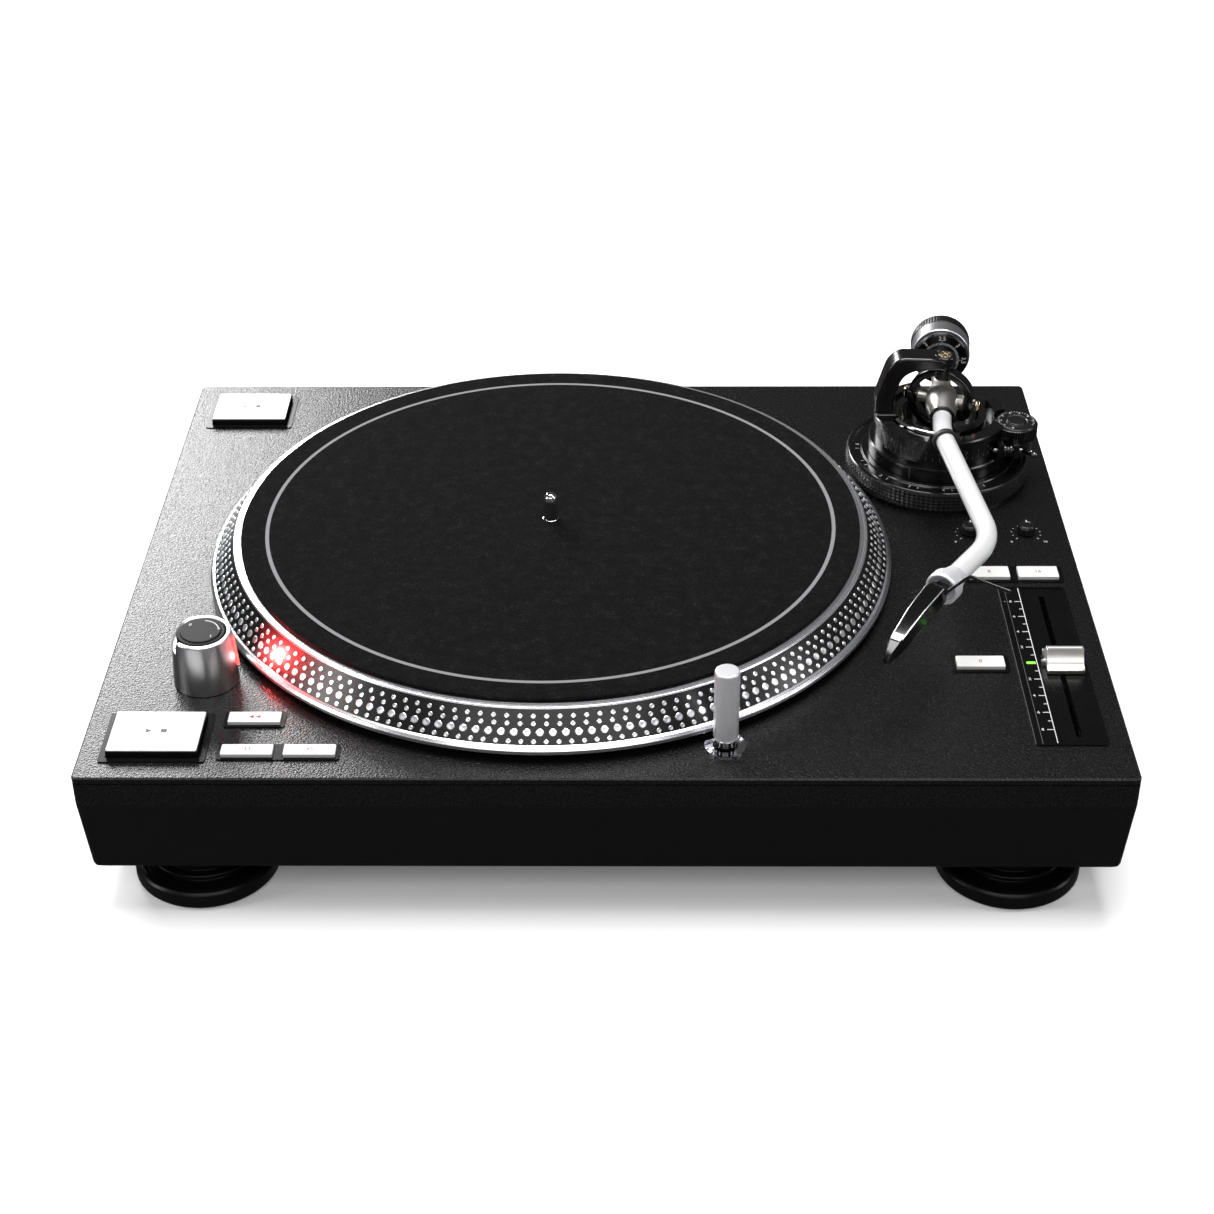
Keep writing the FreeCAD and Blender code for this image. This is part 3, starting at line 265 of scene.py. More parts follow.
# first colour, second colour, roughness, and what differs from a plain finish
FINISHES = {
    "base_black": blackish(0.0022, 0.36, grain=0.9, bump_strength=0.1, specular=0.3),
    "black_plastic": blackish(0.003, 0.3, grain=0.5),
    "gloss_black": blackish(0.002, 0.13, bump_strength=0.02),
    "foot_rubber": blackish(0.002, 0.3, specular=0.25, grain=0.6, bump_strength=0.2),
    "black_anodised": blackish(0.016, 0.25, metallic=0.5, grain=0.4),
    "black_metal": blackish(0.002, 0.2, coat=0.2),
    "platter_cone_paint": blackish(0.003, 0.26, grain=0.5),
    "switch_black": blackish(0.007, 0.5, grain=0.3, specular=0.1),
    "bezel_black": blackish(0.002, 0.25, grain=0.5, specular=0.12),
    "black_rubber": blackish(0.006, 0.5, grain=0.4, bump_strength=0.15),
    "steel": metal(grey(0.5), grey(0.6), 0.3, 0.35, 0.12, 0.06, wear=0.2, stretch=(1, 1, 6)),
    "chrome": metal(grey(0.78), grey(0.84), 0.07, 2.0, 0.02, 0.03, bump_depth=0.005),
    "silver": metal(grey(0.72), grey(0.80), 0.3, 0.25, 0.06, 0.04),
    "gold": metal((0.72, 0.60, 0.42), (0.82, 0.71, 0.52), 0.2, 0.4, 0.05, 0.08),
    "copper": metal((0.42, 0.16, 0.07), (0.55, 0.24, 0.11), 0.3, 0.4, 0.1, 0.08, bump_depth=0.05,
                    stretch=(1, 1, 6)),
    "polished_dot": metal(grey(0.86), grey(0.94), 0.33, 0.5, 0.03, 0.05, bump_depth=0.005),
    "black_chrome": metal(grey(0.10), grey(0.16), 0.14, 0.6, 0.02, 0.03),
    # chrome collar with painted reflection: lower metallic and a near-white base colour paint in the bright
    # surround that chrome would reflect
    "collar_metal_painted_reflection": metal(grey(0.80), grey(0.88), 0.36, 0.3, 0.05, 0.04, metallic=0.65),
    "tower_metal": metal(grey(0.55), grey(0.64), 0.33, 0.2, 0.1, 0.04, stretch=(1, 1, 0.2)),
    "satin_nickel": metal((0.66, 0.64, 0.61), (0.76, 0.74, 0.71), 0.34, 0.2, 0.08, 0.05),
    "light_barrel_metal": metal(grey(0.70), grey(0.78), 0.38, 0.2, 0.06, 0.04, metallic=0.7),
    "magnet": (grey(0.05), grey(0.08), 0.6, dict(metallic=0.4, grain=0.6)),
    "board": ((0.01, 0.07, 0.03), (0.02, 0.12, 0.05), 0.4, dict(grain=1.2)),
    "button_white": ((0.60, 0.60, 0.59), (0.65, 0.65, 0.64), 0.2,
                     dict(grain=2.0, bump_strength=0.02, bump_depth=0.01, spread=0.04)),
    "tube_white": ((0.62, 0.62, 0.63), (0.70, 0.70, 0.71), 0.2,
                   dict(metallic=0.15, grain=0.5, bump_strength=0.02, bump_depth=0.01, coat=0.5,
                        spread=0.04)),
    "nylon": ((0.7, 0.7, 0.66), (0.78, 0.78, 0.74), 0.4, dict(grain=0.6)),
    "red_socket_ring": ((0.5, 0.02, 0.02), (0.6, 0.03, 0.03), 0.35, dict(grain=0.8)),
    "red_lens": ((0.75, 0.01, 0.01), (0.9, 0.03, 0.02), 0.1, dict(bump_strength=0.0)),
    "green_led": ((0.05, 0.6, 0.02), (0.08, 0.75, 0.04), 0.3, dict(bump_strength=0.0)),
    "white_print": print_ink(grey(0.50), grey(0.62), 0.5, 0.05, 0.01),
    "grey_print": print_ink(grey(0.24), grey(0.34), 0.6, 0.1, 0.02),
    "red_print": print_ink((0.16, 0.008, 0.012), (0.24, 0.014, 0.02), 0.4, 0.05, 0.01),
    "dim_print": print_ink(grey(0.045), grey(0.07), 0.6, 0.1, 0.02),
    "mat_print": print_ink(grey(0.14), grey(0.20), 0.8, 0.2, 0.03, specular=0.1),
}
MATERIALS = {name: finish_material(name, colour, colour_2, roughness, **settings)
             for name, (colour, colour_2, roughness, settings) in FINISHES.items()}
MATERIALS["black_cast"] = cast_paint()
MATERIALS["platter_metal"] = turned_metal("platter_metal", grey(0.76), grey(0.90), 0.27, PLATTER)
MATERIALS["felt"] = felt()


def glowing(material, colour, strength):
    shader = material.node_tree.nodes["Principled BSDF"]
    shader.inputs["Emission Color"].default_value = (*colour, 1.0)
    shader.inputs["Emission Strength"].default_value = strength


glowing(MATERIALS["red_lens"], (1.0, 0.05, 0.04), 5.0)
glowing(MATERIALS["green_led"], (0.25, 1.0, 0.05), 1.6)

for entry in frame["record"]["subparts"]:
    target = NODES[entry["node"]]
    target.data.materials.clear()
    target.data.materials.append(MATERIALS[entry["material_slot"]])
for name in ("button_bezels", "fader_panel"):
    NODES[name].data.materials[0] = MATERIALS["bezel_black"]


# ------------------------------------------------------------------ mesh helpers, all in millimetres
def at(x, y, z):
    """Point at a height above the top plate."""
    return Vector((x, y, DECK + z))


def over(point, height=0.0):
    """Upright frame on a point of the plan, at a height above the top plate."""
    return Matrix.Translation(at(point.x, point.y, height))


def raised(height):
    return Matrix.Translation((0, 0, DECK + height))


def shifted(place, x, y, z=0.0):
    return place @ Matrix.Translation((x, y, z))


def rotated(place, degrees, axis="Z"):
    return place @ Matrix.Rotation(math.radians(degrees), 4, axis)


def polar(radius, angle, height=0.0):
    return Vector((radius * math.cos(angle), radius * math.sin(angle), height))


def facing(origin, direction, upward=UP):
    """Frame whose local Z points along a direction, and whose local Y is as near to upward as it can be."""
    z = Vector(direction).normalized()
    x = Vector(upward).cross(z).normalized()
    y = z.cross(x)
    return Matrix.Translation(origin) @ Matrix((x, y, z)).transposed().to_4x4()


def laid_along(origin, direction, upward=UP):
    """Frame whose local X runs along a direction, with local Z as near to upward as it can be."""
    x = Vector(direction).normalized()
    y = Vector(upward).cross(x).normalized()
    z = x.cross(y)
    return Matrix.Translation(origin) @ Matrix((x, y, z)).transposed().to_4x4()


def softened(points, reach, closed=True, steps=4):
    """Line of points with each corner rounded; the rounding starts at most reach before the corner."""
    rounded = []
    count = len(points)
    for index, point in enumerate(points):
        corner = Vector(point)
        if not closed and index in (0, count - 1):
            rounded.append(corner)
            continue
        before = Vector(points[index - 1]) - corner
        after = Vector(points[(index + 1) % count]) - corner
        size = min(reach, 0.45 * before.length, 0.45 * after.length)
        if size < 1e-3:
            rounded.append(corner)
            continue
        start = corner + before.normalized() * size
        end = corner + after.normalized() * size
        for step in range(steps + 1):
            t = step / steps
            rounded.append(start * (1 - t) ** 2 + corner * (2 * t * (1 - t)) + end * t ** 2)
    return rounded


def turns(count, start=0.0, end=360.0):
    """Angles in radians, spread over a turn or part of one; the end is left out."""
    return [math.radians(start + (end - start) * index / count) for index in range(count)]


def circle(mesh, radius, height, segments, place):
    if radius < 1e-6:
        return [mesh.verts.new(place @ Vector((0, 0, height)))]
    return [mesh.verts.new(place @ polar(radius, angle, height))
            for angle in turns(segments)]


def bridge(mesh, first, second):
    """Faces between two rings of vertices; either may be a single point."""
    count = max(len(first), len(second))
    for index in range(count):
        after = (index + 1) % count
        corners = [first[index % len(first)], first[after % len(first)],
                   second[after % len(second)], second[index % len(second)]]
        corners = list(dict.fromkeys(corners))
        if len(corners) > 2:
            mesh.faces.new(corners)


def chain(mesh, rings, closed=False):
    for first, second in zip(rings, rings[1:]):
        bridge(mesh, first, second)
    if closed:
        bridge(mesh, rings[-1], rings[0])
    else:
        for ring in (rings[0], rings[-1]):
            if len(ring) > 2:
                mesh.faces.new(ring)


def lathe(mesh, profile, place, soften=0.3, segments=96):
    """Closed solid of revolution about local Z; the profile is (radius, height) points."""
    solid = profile[0][0] < 1e-6
    outline = softened([Vector(point) for point in profile], soften, closed=not solid)
    rings = [circle(mesh, radius, height, segments, place) for radius, height in outline]
    chain(mesh, rings, closed=not solid)


def knurl(mesh, inner, outer, low_z, high_z, columns, rows, depth, place, edge=0.5):
    """Ring whose outer wall carries rows of small pyramids, or plain ribs where rows is 0."""
    levels = max(2 * rows, 2)
    rings = [circle(mesh, inner, low_z, 2 * columns, place), circle(mesh, outer - depth - edge, low_z,
                                                                    2 * columns, place)]
    for level in range(levels + 1):
        height = low_z + edge + (high_z - low_z - 2 * edge) * level / levels
        ring = []
        for index, angle in enumerate(turns(2 * columns)):
            peak = index % 2 == 1 and (rows == 0 or level % 2 == 1)
            radius = outer if peak else outer - depth
            ring.append(mesh.verts.new(place @ polar(radius, angle, height)))
        rings.append(ring)
    rings.append(circle(mesh, outer - depth - edge, high_z, 2 * columns, place))
    rings.append(circle(mesh, inner, high_z, 2 * columns, place))
    chain(mesh, rings, closed=True)


def offset(outline, distance):
    """Outline drawn in by a distance; the outline runs anticlockwise."""
    drawn = []
    for index, point in enumerate(outline):
        before = (point - outline[index - 1]).normalized()
        after = (outline[(index + 1) % len(outline)] - point).normalized()
        inward = Vector((-before.y - after.y, before.x + after.x))
        drawn.append(point + inward * (distance / (1 + before.dot(after))))
    return drawn


def slab(mesh, outline, thickness, edge, place, steps=3):
    """Plate of a flat outline, from local z = 0 up, with rounded edges."""
    outline = [Vector((point[0], point[1])) for point in outline]
    area = sum(a.x * b.y - b.x * a.y for a, b in zip(outline, outline[1:] + outline[:1]))
    if area < 0:
        outline.reverse()
    if edge > 0:
        angles = [math.radians(90 * step / steps) for step in range(steps + 1)]
        levels = [(edge * (1 - math.sin(angle)), edge * (1 - math.cos(angle))) for angle in angles]
        levels += [(inset, thickness - height) for inset, height in reversed(levels)]
    else:
        levels = [(0.0, 0.0), (0.0, thickness)]
    rings = []
    for inset, height in levels:
        drawn = offset(outline, inset) if inset > 1e-9 else outline
        rings.append([mesh.verts.new(place @ Vector((point.x, point.y, height))) for point in drawn])
    chain(mesh, rings)


def rectangle(x0, x1, y0, y1, corner=0.0):
    points = [Vector((x0, y0)), Vector((x1, y0)), Vector((x1, y1)), Vector((x0, y1))]
    return softened(points, corner) if corner > 0 else points


def loft(mesh, sections, place):
    """Closed skin through rounded-rectangle sections: (station, half width, bottom, top, corner)."""
    rings = []
    for station, half, bottom, top, corner in sections:
        outline = rectangle(-half, half, bottom, top, corner)
        rings.append([mesh.verts.new(place @ Vector((station, point.x, point.y))) for point in outline])
    chain(mesh, rings)


def sweep(mesh, points, radius, sides=24, domes=3):
    """Round bar along a line of points, with domed ends; radius is one number or one per point."""
    points = [Vector(point) for point in points]
    radii = list(radius) if hasattr(radius, "__len__") else [radius] * len(points)
    tangents = []
    for index in range(len(points)):
        ahead = points[min(index + 1, len(points) - 1)]
        behind = points[max(index - 1, 0)]
        tangents.append((ahead - behind).normalized())
    side = tangents[0].orthogonal().normalized()
    rings = []

    def add_ring(centre, tangent, size):
        other = tangent.cross(side)
        rings.append([mesh.verts.new(centre + size * (side * math.cos(angle) + other * math.sin(angle)))
                      for angle in turns(sides)])

    for step in range(domes, 0, -1):
        angle = math.radians(88 * step / domes)
        add_ring(points[0] - tangents[0] * radii[0] * math.sin(angle), tangents[0],
                 radii[0] * math.cos(angle))
    for point, tangent, size in zip(points, tangents, radii):
        side = (side - tangent * side.dot(tangent)).normalized()
        add_ring(point, tangent, size)
    for step in range(1, domes + 1):
        angle = math.radians(88 * step / domes)
        add_ring(points[-1] + tangents[-1] * radii[-1] * math.sin(angle), tangents[-1],
                 radii[-1] * math.cos(angle))
    chain(mesh, rings)


def arc_points(centre, radius, start, end, count, height=0.0):
    return [Vector((centre.x + radius * math.cos(angle), centre.y + radius * math.sin(angle), height))
            for angle in [math.radians(start + (end - start) * index / count) for index in range(count + 1)]]


PRINT_SINK, PRINT_RISE = 0.03, 0.04            # printed marks are thin solids that stand just proud


def mark(mesh, outline, place, rise=PRINT_RISE):
    slab(mesh, outline, rise + PRINT_SINK, 0, shifted(place, 0, 0, -PRINT_SINK))


def bar(mesh, x0, x1, y0, y1, place, rise=PRINT_RISE):
    mark(mesh, rectangle(x0, x1, y0, y1), place, rise)


def arc_band(mesh, inner, outer, start, end, place, segments=48, rise=PRINT_RISE):
    """Flat band of a circle between two angles; a whole turn makes a closed ring."""
    if end - start >= 360:
        levels = [(inner, -PRINT_SINK), (outer, -PRINT_SINK), (outer, rise), (inner, rise)]
        chain(mesh, [circle(mesh, radius, height, segments, place) for radius, height in levels], closed=True)
        return
    centre = Vector((0, 0))
    outline = [point.xy for point in arc_points(centre, outer, start, end, segments)]
    outline += [point.xy for point in reversed(arc_points(centre, inner, start, end, segments))]
    mark(mesh, outline, place, rise)


def ray(mesh, inner, outer, width, degrees, place, rise=PRINT_RISE):
    bar(mesh, inner, outer, -width / 2, width / 2, rotated(place, degrees), rise)


def numeral(mesh, text, size, place):
    """Number laid flat in the local XY plane, centred on the origin."""
    curve = bpy.data.curves.new("numeral", "FONT")
    curve.body = text
    curve.size = size
    curve.resolution_u = 3
    curve.extrude = (PRINT_RISE + PRINT_SINK) / 2
    curve.align_x = "CENTER"
    curve.align_y = "CENTER"
    holder = bpy.data.objects.new("numeral", curve)
    bpy.context.scene.collection.objects.link(holder)
    bpy.context.view_layer.update()
    data = bpy.data.meshes.new_from_object(holder.evaluated_get(bpy.context.evaluated_depsgraph_get()))
    letters = bmesh.new()
    letters.from_mesh(data)
    bmesh.ops.remove_doubles(letters, verts=letters.verts, dist=size * 1e-4)
    letters.transform(place @ Matrix.Translation((0, 0, (PRINT_RISE - PRINT_SINK) / 2)))
    copies = {vertex: mesh.verts.new(vertex.co) for vertex in letters.verts}
    for face in letters.faces:
        mesh.faces.new([copies[vertex] for vertex in face.verts])
    letters.free()
    bpy.data.objects.remove(holder)
    bpy.data.curves.remove(curve)
    bpy.data.meshes.remove(data)


def dial_number(mesh, number, size, face, radius, angle, turn):
    """Number on a dial, its foot turned away from or towards the dial's centre."""
    spot = face @ Matrix.Translation(polar(radius, angle))
    numeral(mesh, "%g" % number, size, spot @ Matrix.Rotation(angle + math.radians(turn), 4, "Z"))


def piece(name, mesh, body, slot, finish=None, replaces=(), smooth=40):
    """Object from a mesh in millimetres; it rides on a body and may stand for CAD nodes."""
    bmesh.ops.recalc_face_normals(mesh, faces=mesh.faces)
    mesh.transform(Matrix.Scale(MM, 4))
    data = bpy.data.meshes.new(name)
    mesh.to_mesh(data)
    mesh.free()
    data.polygons.foreach_set("use_smooth", [True] * len(data.polygons))
    data.set_sharp_from_angle(angle=math.radians(smooth))
    data.materials.append(MATERIALS[finish or slot])
    made = bpy.data.objects.new(name, data)
    bpy.context.scene.collection.objects.link(made)
    weighted = made.modifiers.new("weighted", "WEIGHTED_NORMAL")
    weighted.keep_sharp = True
    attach(made, body)
    if replaces:
        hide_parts(*replaces)
    return made


# ------------------------------------------------------------------ platter, mat and spindle
CONE_TOP = Vector((154.0, 20.0))               # radius and height of the cone's two edges
CONE_FOOT = Vector((163.5, 7.5))
PLATTER_TOP = 20.5
HUB_BORE = 4.05
MAT_TOP = 22.3
MAT_R = 150.0
# share of the way down the cone, dots in the row, dot radius
DOT_ROWS = ((0.20, 170, 1.1), (0.41, 174, 1.1), (0.65, 180, 1.75), (0.90, 186, 1.1))


def platter_casting():
    """Die-cast platter: black cone between a bright foot and a bright, finely turned upper rim."""
    grooves = [(153.4 - 0.3 * step, PLATTER_TOP + (0.05 if step % 2 else 0.0)) for step in range(11)]
    profile = [(HUB_BORE, 6), (14, 6), (18, 15), (152, 15), (158, 3), (164.5, 3), (166, 4.2), (166, 5.8),
               (164.8, 7), tuple(CONE_FOOT), tuple(CONE_TOP), *grooves, (HUB_BORE, PLATTER_TOP)]
    mesh = bmesh.new()
    lathe(mesh, profile, over(PLATTER), 0.25, 240)
    made = piece("platter_casting", mesh, "platter", "platter_metal", replaces=["platter"], smooth=30)
    made.data.materials.append(MATERIALS["platter_cone_paint"])
    for polygon in made.data.polygons:
        middle_z = polygon.center.z / MM - DECK
        radius = (polygon.center.xy / MM - PLATTER.xy).length
        if CONE_FOOT.y < middle_z < CONE_TOP.y and radius > MAT_R:
            polygon.material_index = 1


def strobe_dots():
    """Polished studs in four rows round the cone."""
    slope = (CONE_FOOT - CONE_TOP).normalized()
    mesh = bmesh.new()
    for share, count, radius in DOT_ROWS:
        spot = CONE_TOP.lerp(CONE_FOOT, share)
        stud = [(0, -0.2), (radius, -0.2), (radius, 0.12), (radius * 0.82, 0.3), (radius * 0.35, 0.3),
                (0, 0.2)]
        for angle in turns(count):
            outward = polar(1, angle)
            origin = outward * spot.x + at(PLATTER.x, PLATTER.y, spot.y)
            normal = outward * -slope.y + UP * slope.x
            lathe(mesh, stud, facing(origin, normal), 0, 14)
    piece("strobe_dots", mesh, "platter", "platter_metal", "polished_dot", smooth=30)


def felt_mat():
    """Felt disc with a rounded edge and a slightly uneven face."""
    place = over(PLATTER)
    profile = [(HUB_BORE, PLATTER_TOP), (MAT_R - 0.4, PLATTER_TOP), (MAT_R, PLATTER_TOP + 0.4),
               (MAT_R, MAT_TOP - 0.5), (MAT_R - 0.5, MAT_TOP - 0.05)]
    profile += [(MAT_R - 2.0 - 2.0 * step, MAT_TOP) for step in range(72)] + [(HUB_BORE, MAT_TOP)]
    mesh = bmesh.new()
    rings = [circle(mesh, radius, height, 300, place) for radius, height in profile]
    chain(mesh, rings, closed=True)
    for vertex in mesh.verts:
        height = vertex.co.z - DECK
        if height > PLATTER_TOP + 1.0 and (vertex.co.xy - PLATTER.xy).length > HUB_BORE + 1:
            vertex.co.z += 0.035 * field.noise(vertex.co * 0.35) - 0.03
    mat = piece("slipmat_felt", mesh, "slipmat", "felt", replaces=["slipmat"])
    mesh = bmesh.new()
    arc_band(mesh, 136.4, 138.2, 0, 360, over(PLATTER, MAT_TOP), 300)
    printed = piece("slipmat_printed_ring", mesh, "slipmat", "felt", "mat_print")


def spindle():
    mesh = bmesh.new()
    profile = [(0, -40), (5, -40), (5, 6), (4, 6), (4, MAT_TOP), (3.6, MAT_TOP), (3.6, 32.4), (3.0, 34.6),
               (1.7, 35.9), (0, 36)]
    lathe(mesh, profile, over(PLATTER), 0.5, 64)
    piece("spindle_polished", mesh, "platter", "chrome", replaces=["spindle"])


# ------------------------------------------------------------------ power tower and pop-up light
TOWER_R, TOWER_TOP_R, TOWER_HEIGHT = 14.8, 13.7, 26.0
CAP_R = 11.0
NOTCH_START, NOTCH_END = 122.0, 226.0          # plan directions between which the shell's lip is cut away
NOTCH_DEPTH = 7.0
LAMP_HEADING = 14.0


def notch_depth(degrees):
    """The cut starts gently at the back and ends in a short rounded step at the front."""
    if not NOTCH_START < degrees < NOTCH_END:
        return 0.0
    share = (degrees - NOTCH_START) / (NOTCH_END - NOTCH_START)
    rise = min(share / 0.75, 1.0)
    fall = min((1.0 - share) / 0.10, 1.0)
    return NOTCH_DEPTH * rise * rise * (3 - 2 * rise) * fall * fall * (3 - 2 * fall)


def tower_shell():
    segments = 240
    place = over(TOWER)
    inner = CAP_R + 0.35
    lip = [(TOWER_TOP_R, -0.7), (TOWER_TOP_R - 0.2, -0.25), (TOWER_TOP_R - 0.6, 0.0), (inner + 0.5, 0.0),
           (inner + 0.1, -0.2), (inner, -0.6)]
    mesh = bmesh.new()
    rings = [circle(mesh, inner, 3.5, segments, place), circle(mesh, TOWER_R - 0.4, 0.05, segments, place),
             circle(mesh, TOWER_R, 0.5, segments, place)]
    for radius, drop in lip:
        ring = []
        for index, angle in enumerate(turns(segments)):
            height = TOWER_HEIGHT + drop - notch_depth(360.0 * index / segments)
            ring.append(mesh.verts.new(place @ polar(radius, angle, height)))
        rings.append(ring)
    chain(mesh, rings, closed=True)
    lathe(mesh, [(3.5, -12), (9.8, -12), (9.8, 1), (12.5, 1), (12.5, 3), (3.5, 3)], place, 0.2, 64)
    piece("strobe_tower_shell", mesh, "plinth", "silver", "tower_metal", replaces=["strobe_tower"], smooth=50)
    mesh = bmesh.new()
    outline = rectangle(-2.6, 2.6, -7.2, 7.2, 1.6)
    outward = Vector((math.cos(math.radians(LAMP_HEADING)), math.sin(math.radians(LAMP_HEADING)), 0.08))
    slab(mesh, outline, 2.2, 0.5, facing(at(TOWER.x, TOWER.y, 12.5) + outward * (TOWER_TOP_R - 1.0), outward))
    piece("strobe_lamp_lens", mesh, "plinth", "red_lens", replaces=["strobe_lamp"])


def power_cap():
    """Black power switch with a raised disc and printed on and off marks."""
    place = over(TOWER)
    top = TOWER_HEIGHT + 0.1
    mesh = bmesh.new()
    profile = [(0, -10), (3.45, -10), (3.45, 3.3), (CAP_R, 3.3), (CAP_R, top - 0.4), (CAP_R - 0.4, top),
               (9.2, top), (9.0, top + 0.55), (8.6, top + 0.6), (0, top + 0.6)]
    lathe(mesh, profile, place, 0.25, 96)
    piece("power_knob_cap", mesh, "power_knob", "black_plastic", "switch_black", replaces=["power_knob"])
    mesh = bmesh.new()
    face = over(TOWER, top + 0.6)
    arc_band(mesh, 7.7, 8.1, 5, 85, face)
    mark(mesh, [(7.2, 2.0), (8.6, 2.0), (7.9, 0.4)], face)
    numeral(mesh, "0", 2.6, shifted(face, -5.4, 4.6))
    numeral(mesh, "1", 2.6, shifted(face, 5.2, -4.4))
    piece("power_knob_marks", mesh, "power_knob", "button_white", "white_print")


def target_light():
    spot = middle("target_light")
    place = over(spot)
    mesh = bmesh.new()
    lathe(mesh, [(0, 5), (5.0, 5), (5.5, 6.4), (5.5, 39.7), (5.1, 40.4), (4.6, 40.5), (0, 40.5)], place,
          0.4, 72)
    piece("target_light_barrel", mesh, "target_light", "silver", "light_barrel_metal",
          replaces=["target_light"])
    mesh = bmesh.new()
    profile = [(0, -8), (5.5, -8), (5.5, -5), (4.0, -5), (4.0, 0.9), (4.4, 1.2), (4.4, 1.9), (4.0, 2.2),
               (4.0, 5.1), (0, 5.1)]
    lathe(mesh, profile, place, 0.2, 64)
    piece("target_light_neck", mesh, "target_light", "gloss_black")
    outward = (PLATTER - spot).xy.to_3d().normalized()
    mesh = bmesh.new()
    towards = math.degrees(math.atan2(outward.y, outward.x))
    arc_band(mesh, 4.9, 5.52, towards - 20, towards + 20, over(spot, 28.4), 16, 5.2)
    piece("target_light_lens", mesh, "target_light", "nylon")


# ------------------------------------------------------------------ buttons
CAP_FLANGE = 1.0
BIG_CAPS = ("start_stop_front_button", "start_stop_rear_button")
SMALL_CAPS = {"reverse_button": "", "speed_33_button": "33", "speed_45_button": "45", "pitch_8_button": "8",
              "pitch_16_button": "16", "reset_button": "0"}


def cap_outline(name, inset=0.0):
    grow = CAP_FLANGE + inset
    lowest, highest = low(name), high(name)
    return lowest.x + grow, highest.x - grow, lowest.y + grow, highest.y - grow


def cap_foot(mesh, name):
    x0, x1, y0, y1 = cap_outline(name, -CAP_FLANGE + 0.02)
    slab(mesh, rectangle(x0, x1, y0, y1, 0.5), 2.0, 0.2, raised(-6.4))
    centre = middle(name)
    lathe(mesh, [(0, -7.4), (1.5, -7.4), (1.5, -6.2), (0, -6.2)], over(centre), 0.2, 24)


def play_and_stop_marks(mesh, place):
    """A triangle, a stroke and a square, for start and stop."""
    mark(mesh, [(-4.6, -1.5), (-1.8, 0), (-4.6, 1.5)], place)
    mark(mesh, [(-0.5, -1.7), (-0.2, -1.7), (0.8, 1.7), (0.5, 1.7)], place)
    bar(mesh, 2.0, 4.6, -1.3, 1.3, place)


def big_caps():
    for name in BIG_CAPS:
        top = high(name).z - DECK
        mesh = bmesh.new()
        slab(mesh, rectangle(*cap_outline(name), 1.0), top + 4.6, 0.35, raised(-5))
        cap_foot(mesh, name)
        piece(name + "_body", mesh, name, "gloss_black", replaces=[name])
        mesh = bmesh.new()
        slab(mesh, rectangle(*cap_outline(name, 0.35), 0.9), 0.8, 0.25, raised(top - 0.8))
        piece(name + "_plate", mesh, name, "button_white")
        centre = middle(name)
        mesh = bmesh.new()
        play_and_stop_marks(mesh, over(centre, top + 0.01))
        piece(name + "_marks", mesh, name, "black_plastic", "dim_print")


def small_caps():
    for name, legend in SMALL_CAPS.items():
        top = high(name).z - DECK
        centre = middle(name)
        mesh = bmesh.new()
        slab(mesh, rectangle(*cap_outline(name), 0.7), top + 5, 0.35, raised(-5))
        cap_foot(mesh, name)
        piece(name + "_cap", mesh, name, "button_white", replaces=[name])
        mesh = bmesh.new()
        face = over(centre, top)
        if legend:
            numeral(mesh, legend, 3.4, face)
        else:
            for x in (-2.8, 0.2):
                mark(mesh, [(x + 2.4, -1.3), (x + 2.4, 1.3), (x, 0)], face)
        piece(name + "_legend", mesh, name, "red_lens", "red_print")


# ------------------------------------------------------------------ pitch fader and trim knobs
SCALE_RIGHT = 11.6          # from the panel's left edge to the line between scale and tray
TICK_PITCH = 101.1 / 16     # one percent on the scale
SCALE_NUMBERS = (8, 6, 4, 2, 0, 2, 4, 6, 8)


def fader_scale():
    panel_low, panel_high = low("fader_panel"), high("fader_panel")
    knob = middle("pitch_fader_knob")
    face = raised(panel_high.z - DECK)
    line = panel_low.x + SCALE_RIGHT - 1.9
    mesh = bmesh.new()
    bar(mesh, line, line + 0.35, panel_low.y + 1.5, panel_high.y - 1.5, face)
    for percent in range(-8, 9):
        y = knob.y - percent * TICK_PITCH
        length = 3.0 if percent % 2 == 0 else 1.7
        if percent:
            bar(mesh, line - length, line, y - 0.2, y + 0.2, face)
    for index, number in enumerate(SCALE_NUMBERS):
        if number:
            y = knob.y + (8 - 2 * index) * TICK_PITCH
            numeral(mesh, str(number), 2.5, shifted(face, line - 4.9, y))
    bar(mesh, line - 7.7, line - 7.2, knob.y + 8 * TICK_PITCH - 0.15, knob.y + 8 * TICK_PITCH + 0.15, face)
    piece("pitch_scale_print", mesh, "plinth", "button_white", "white_print")
    mesh = bmesh.new()
    slab(mesh, rectangle(line - 4.6, line - 0.5, knob.y - 0.7, knob.y + 0.7, 0.3), 0.7, 0.15,
         shifted(face, 0, 0, -0.4))
    piece("pitch_centre_led", mesh, "plinth", "nylon", "green_led")
    mesh = bmesh.new()
    for inset in (0.2, 3.2):
        x = panel_low.x + inset
        bar(mesh, x, x + 0.25, panel_low.y + 0.5, panel_high.y - 0.5, face)
    piece("fader_panel_lines", mesh, "plinth", "black_metal", "dim_print")


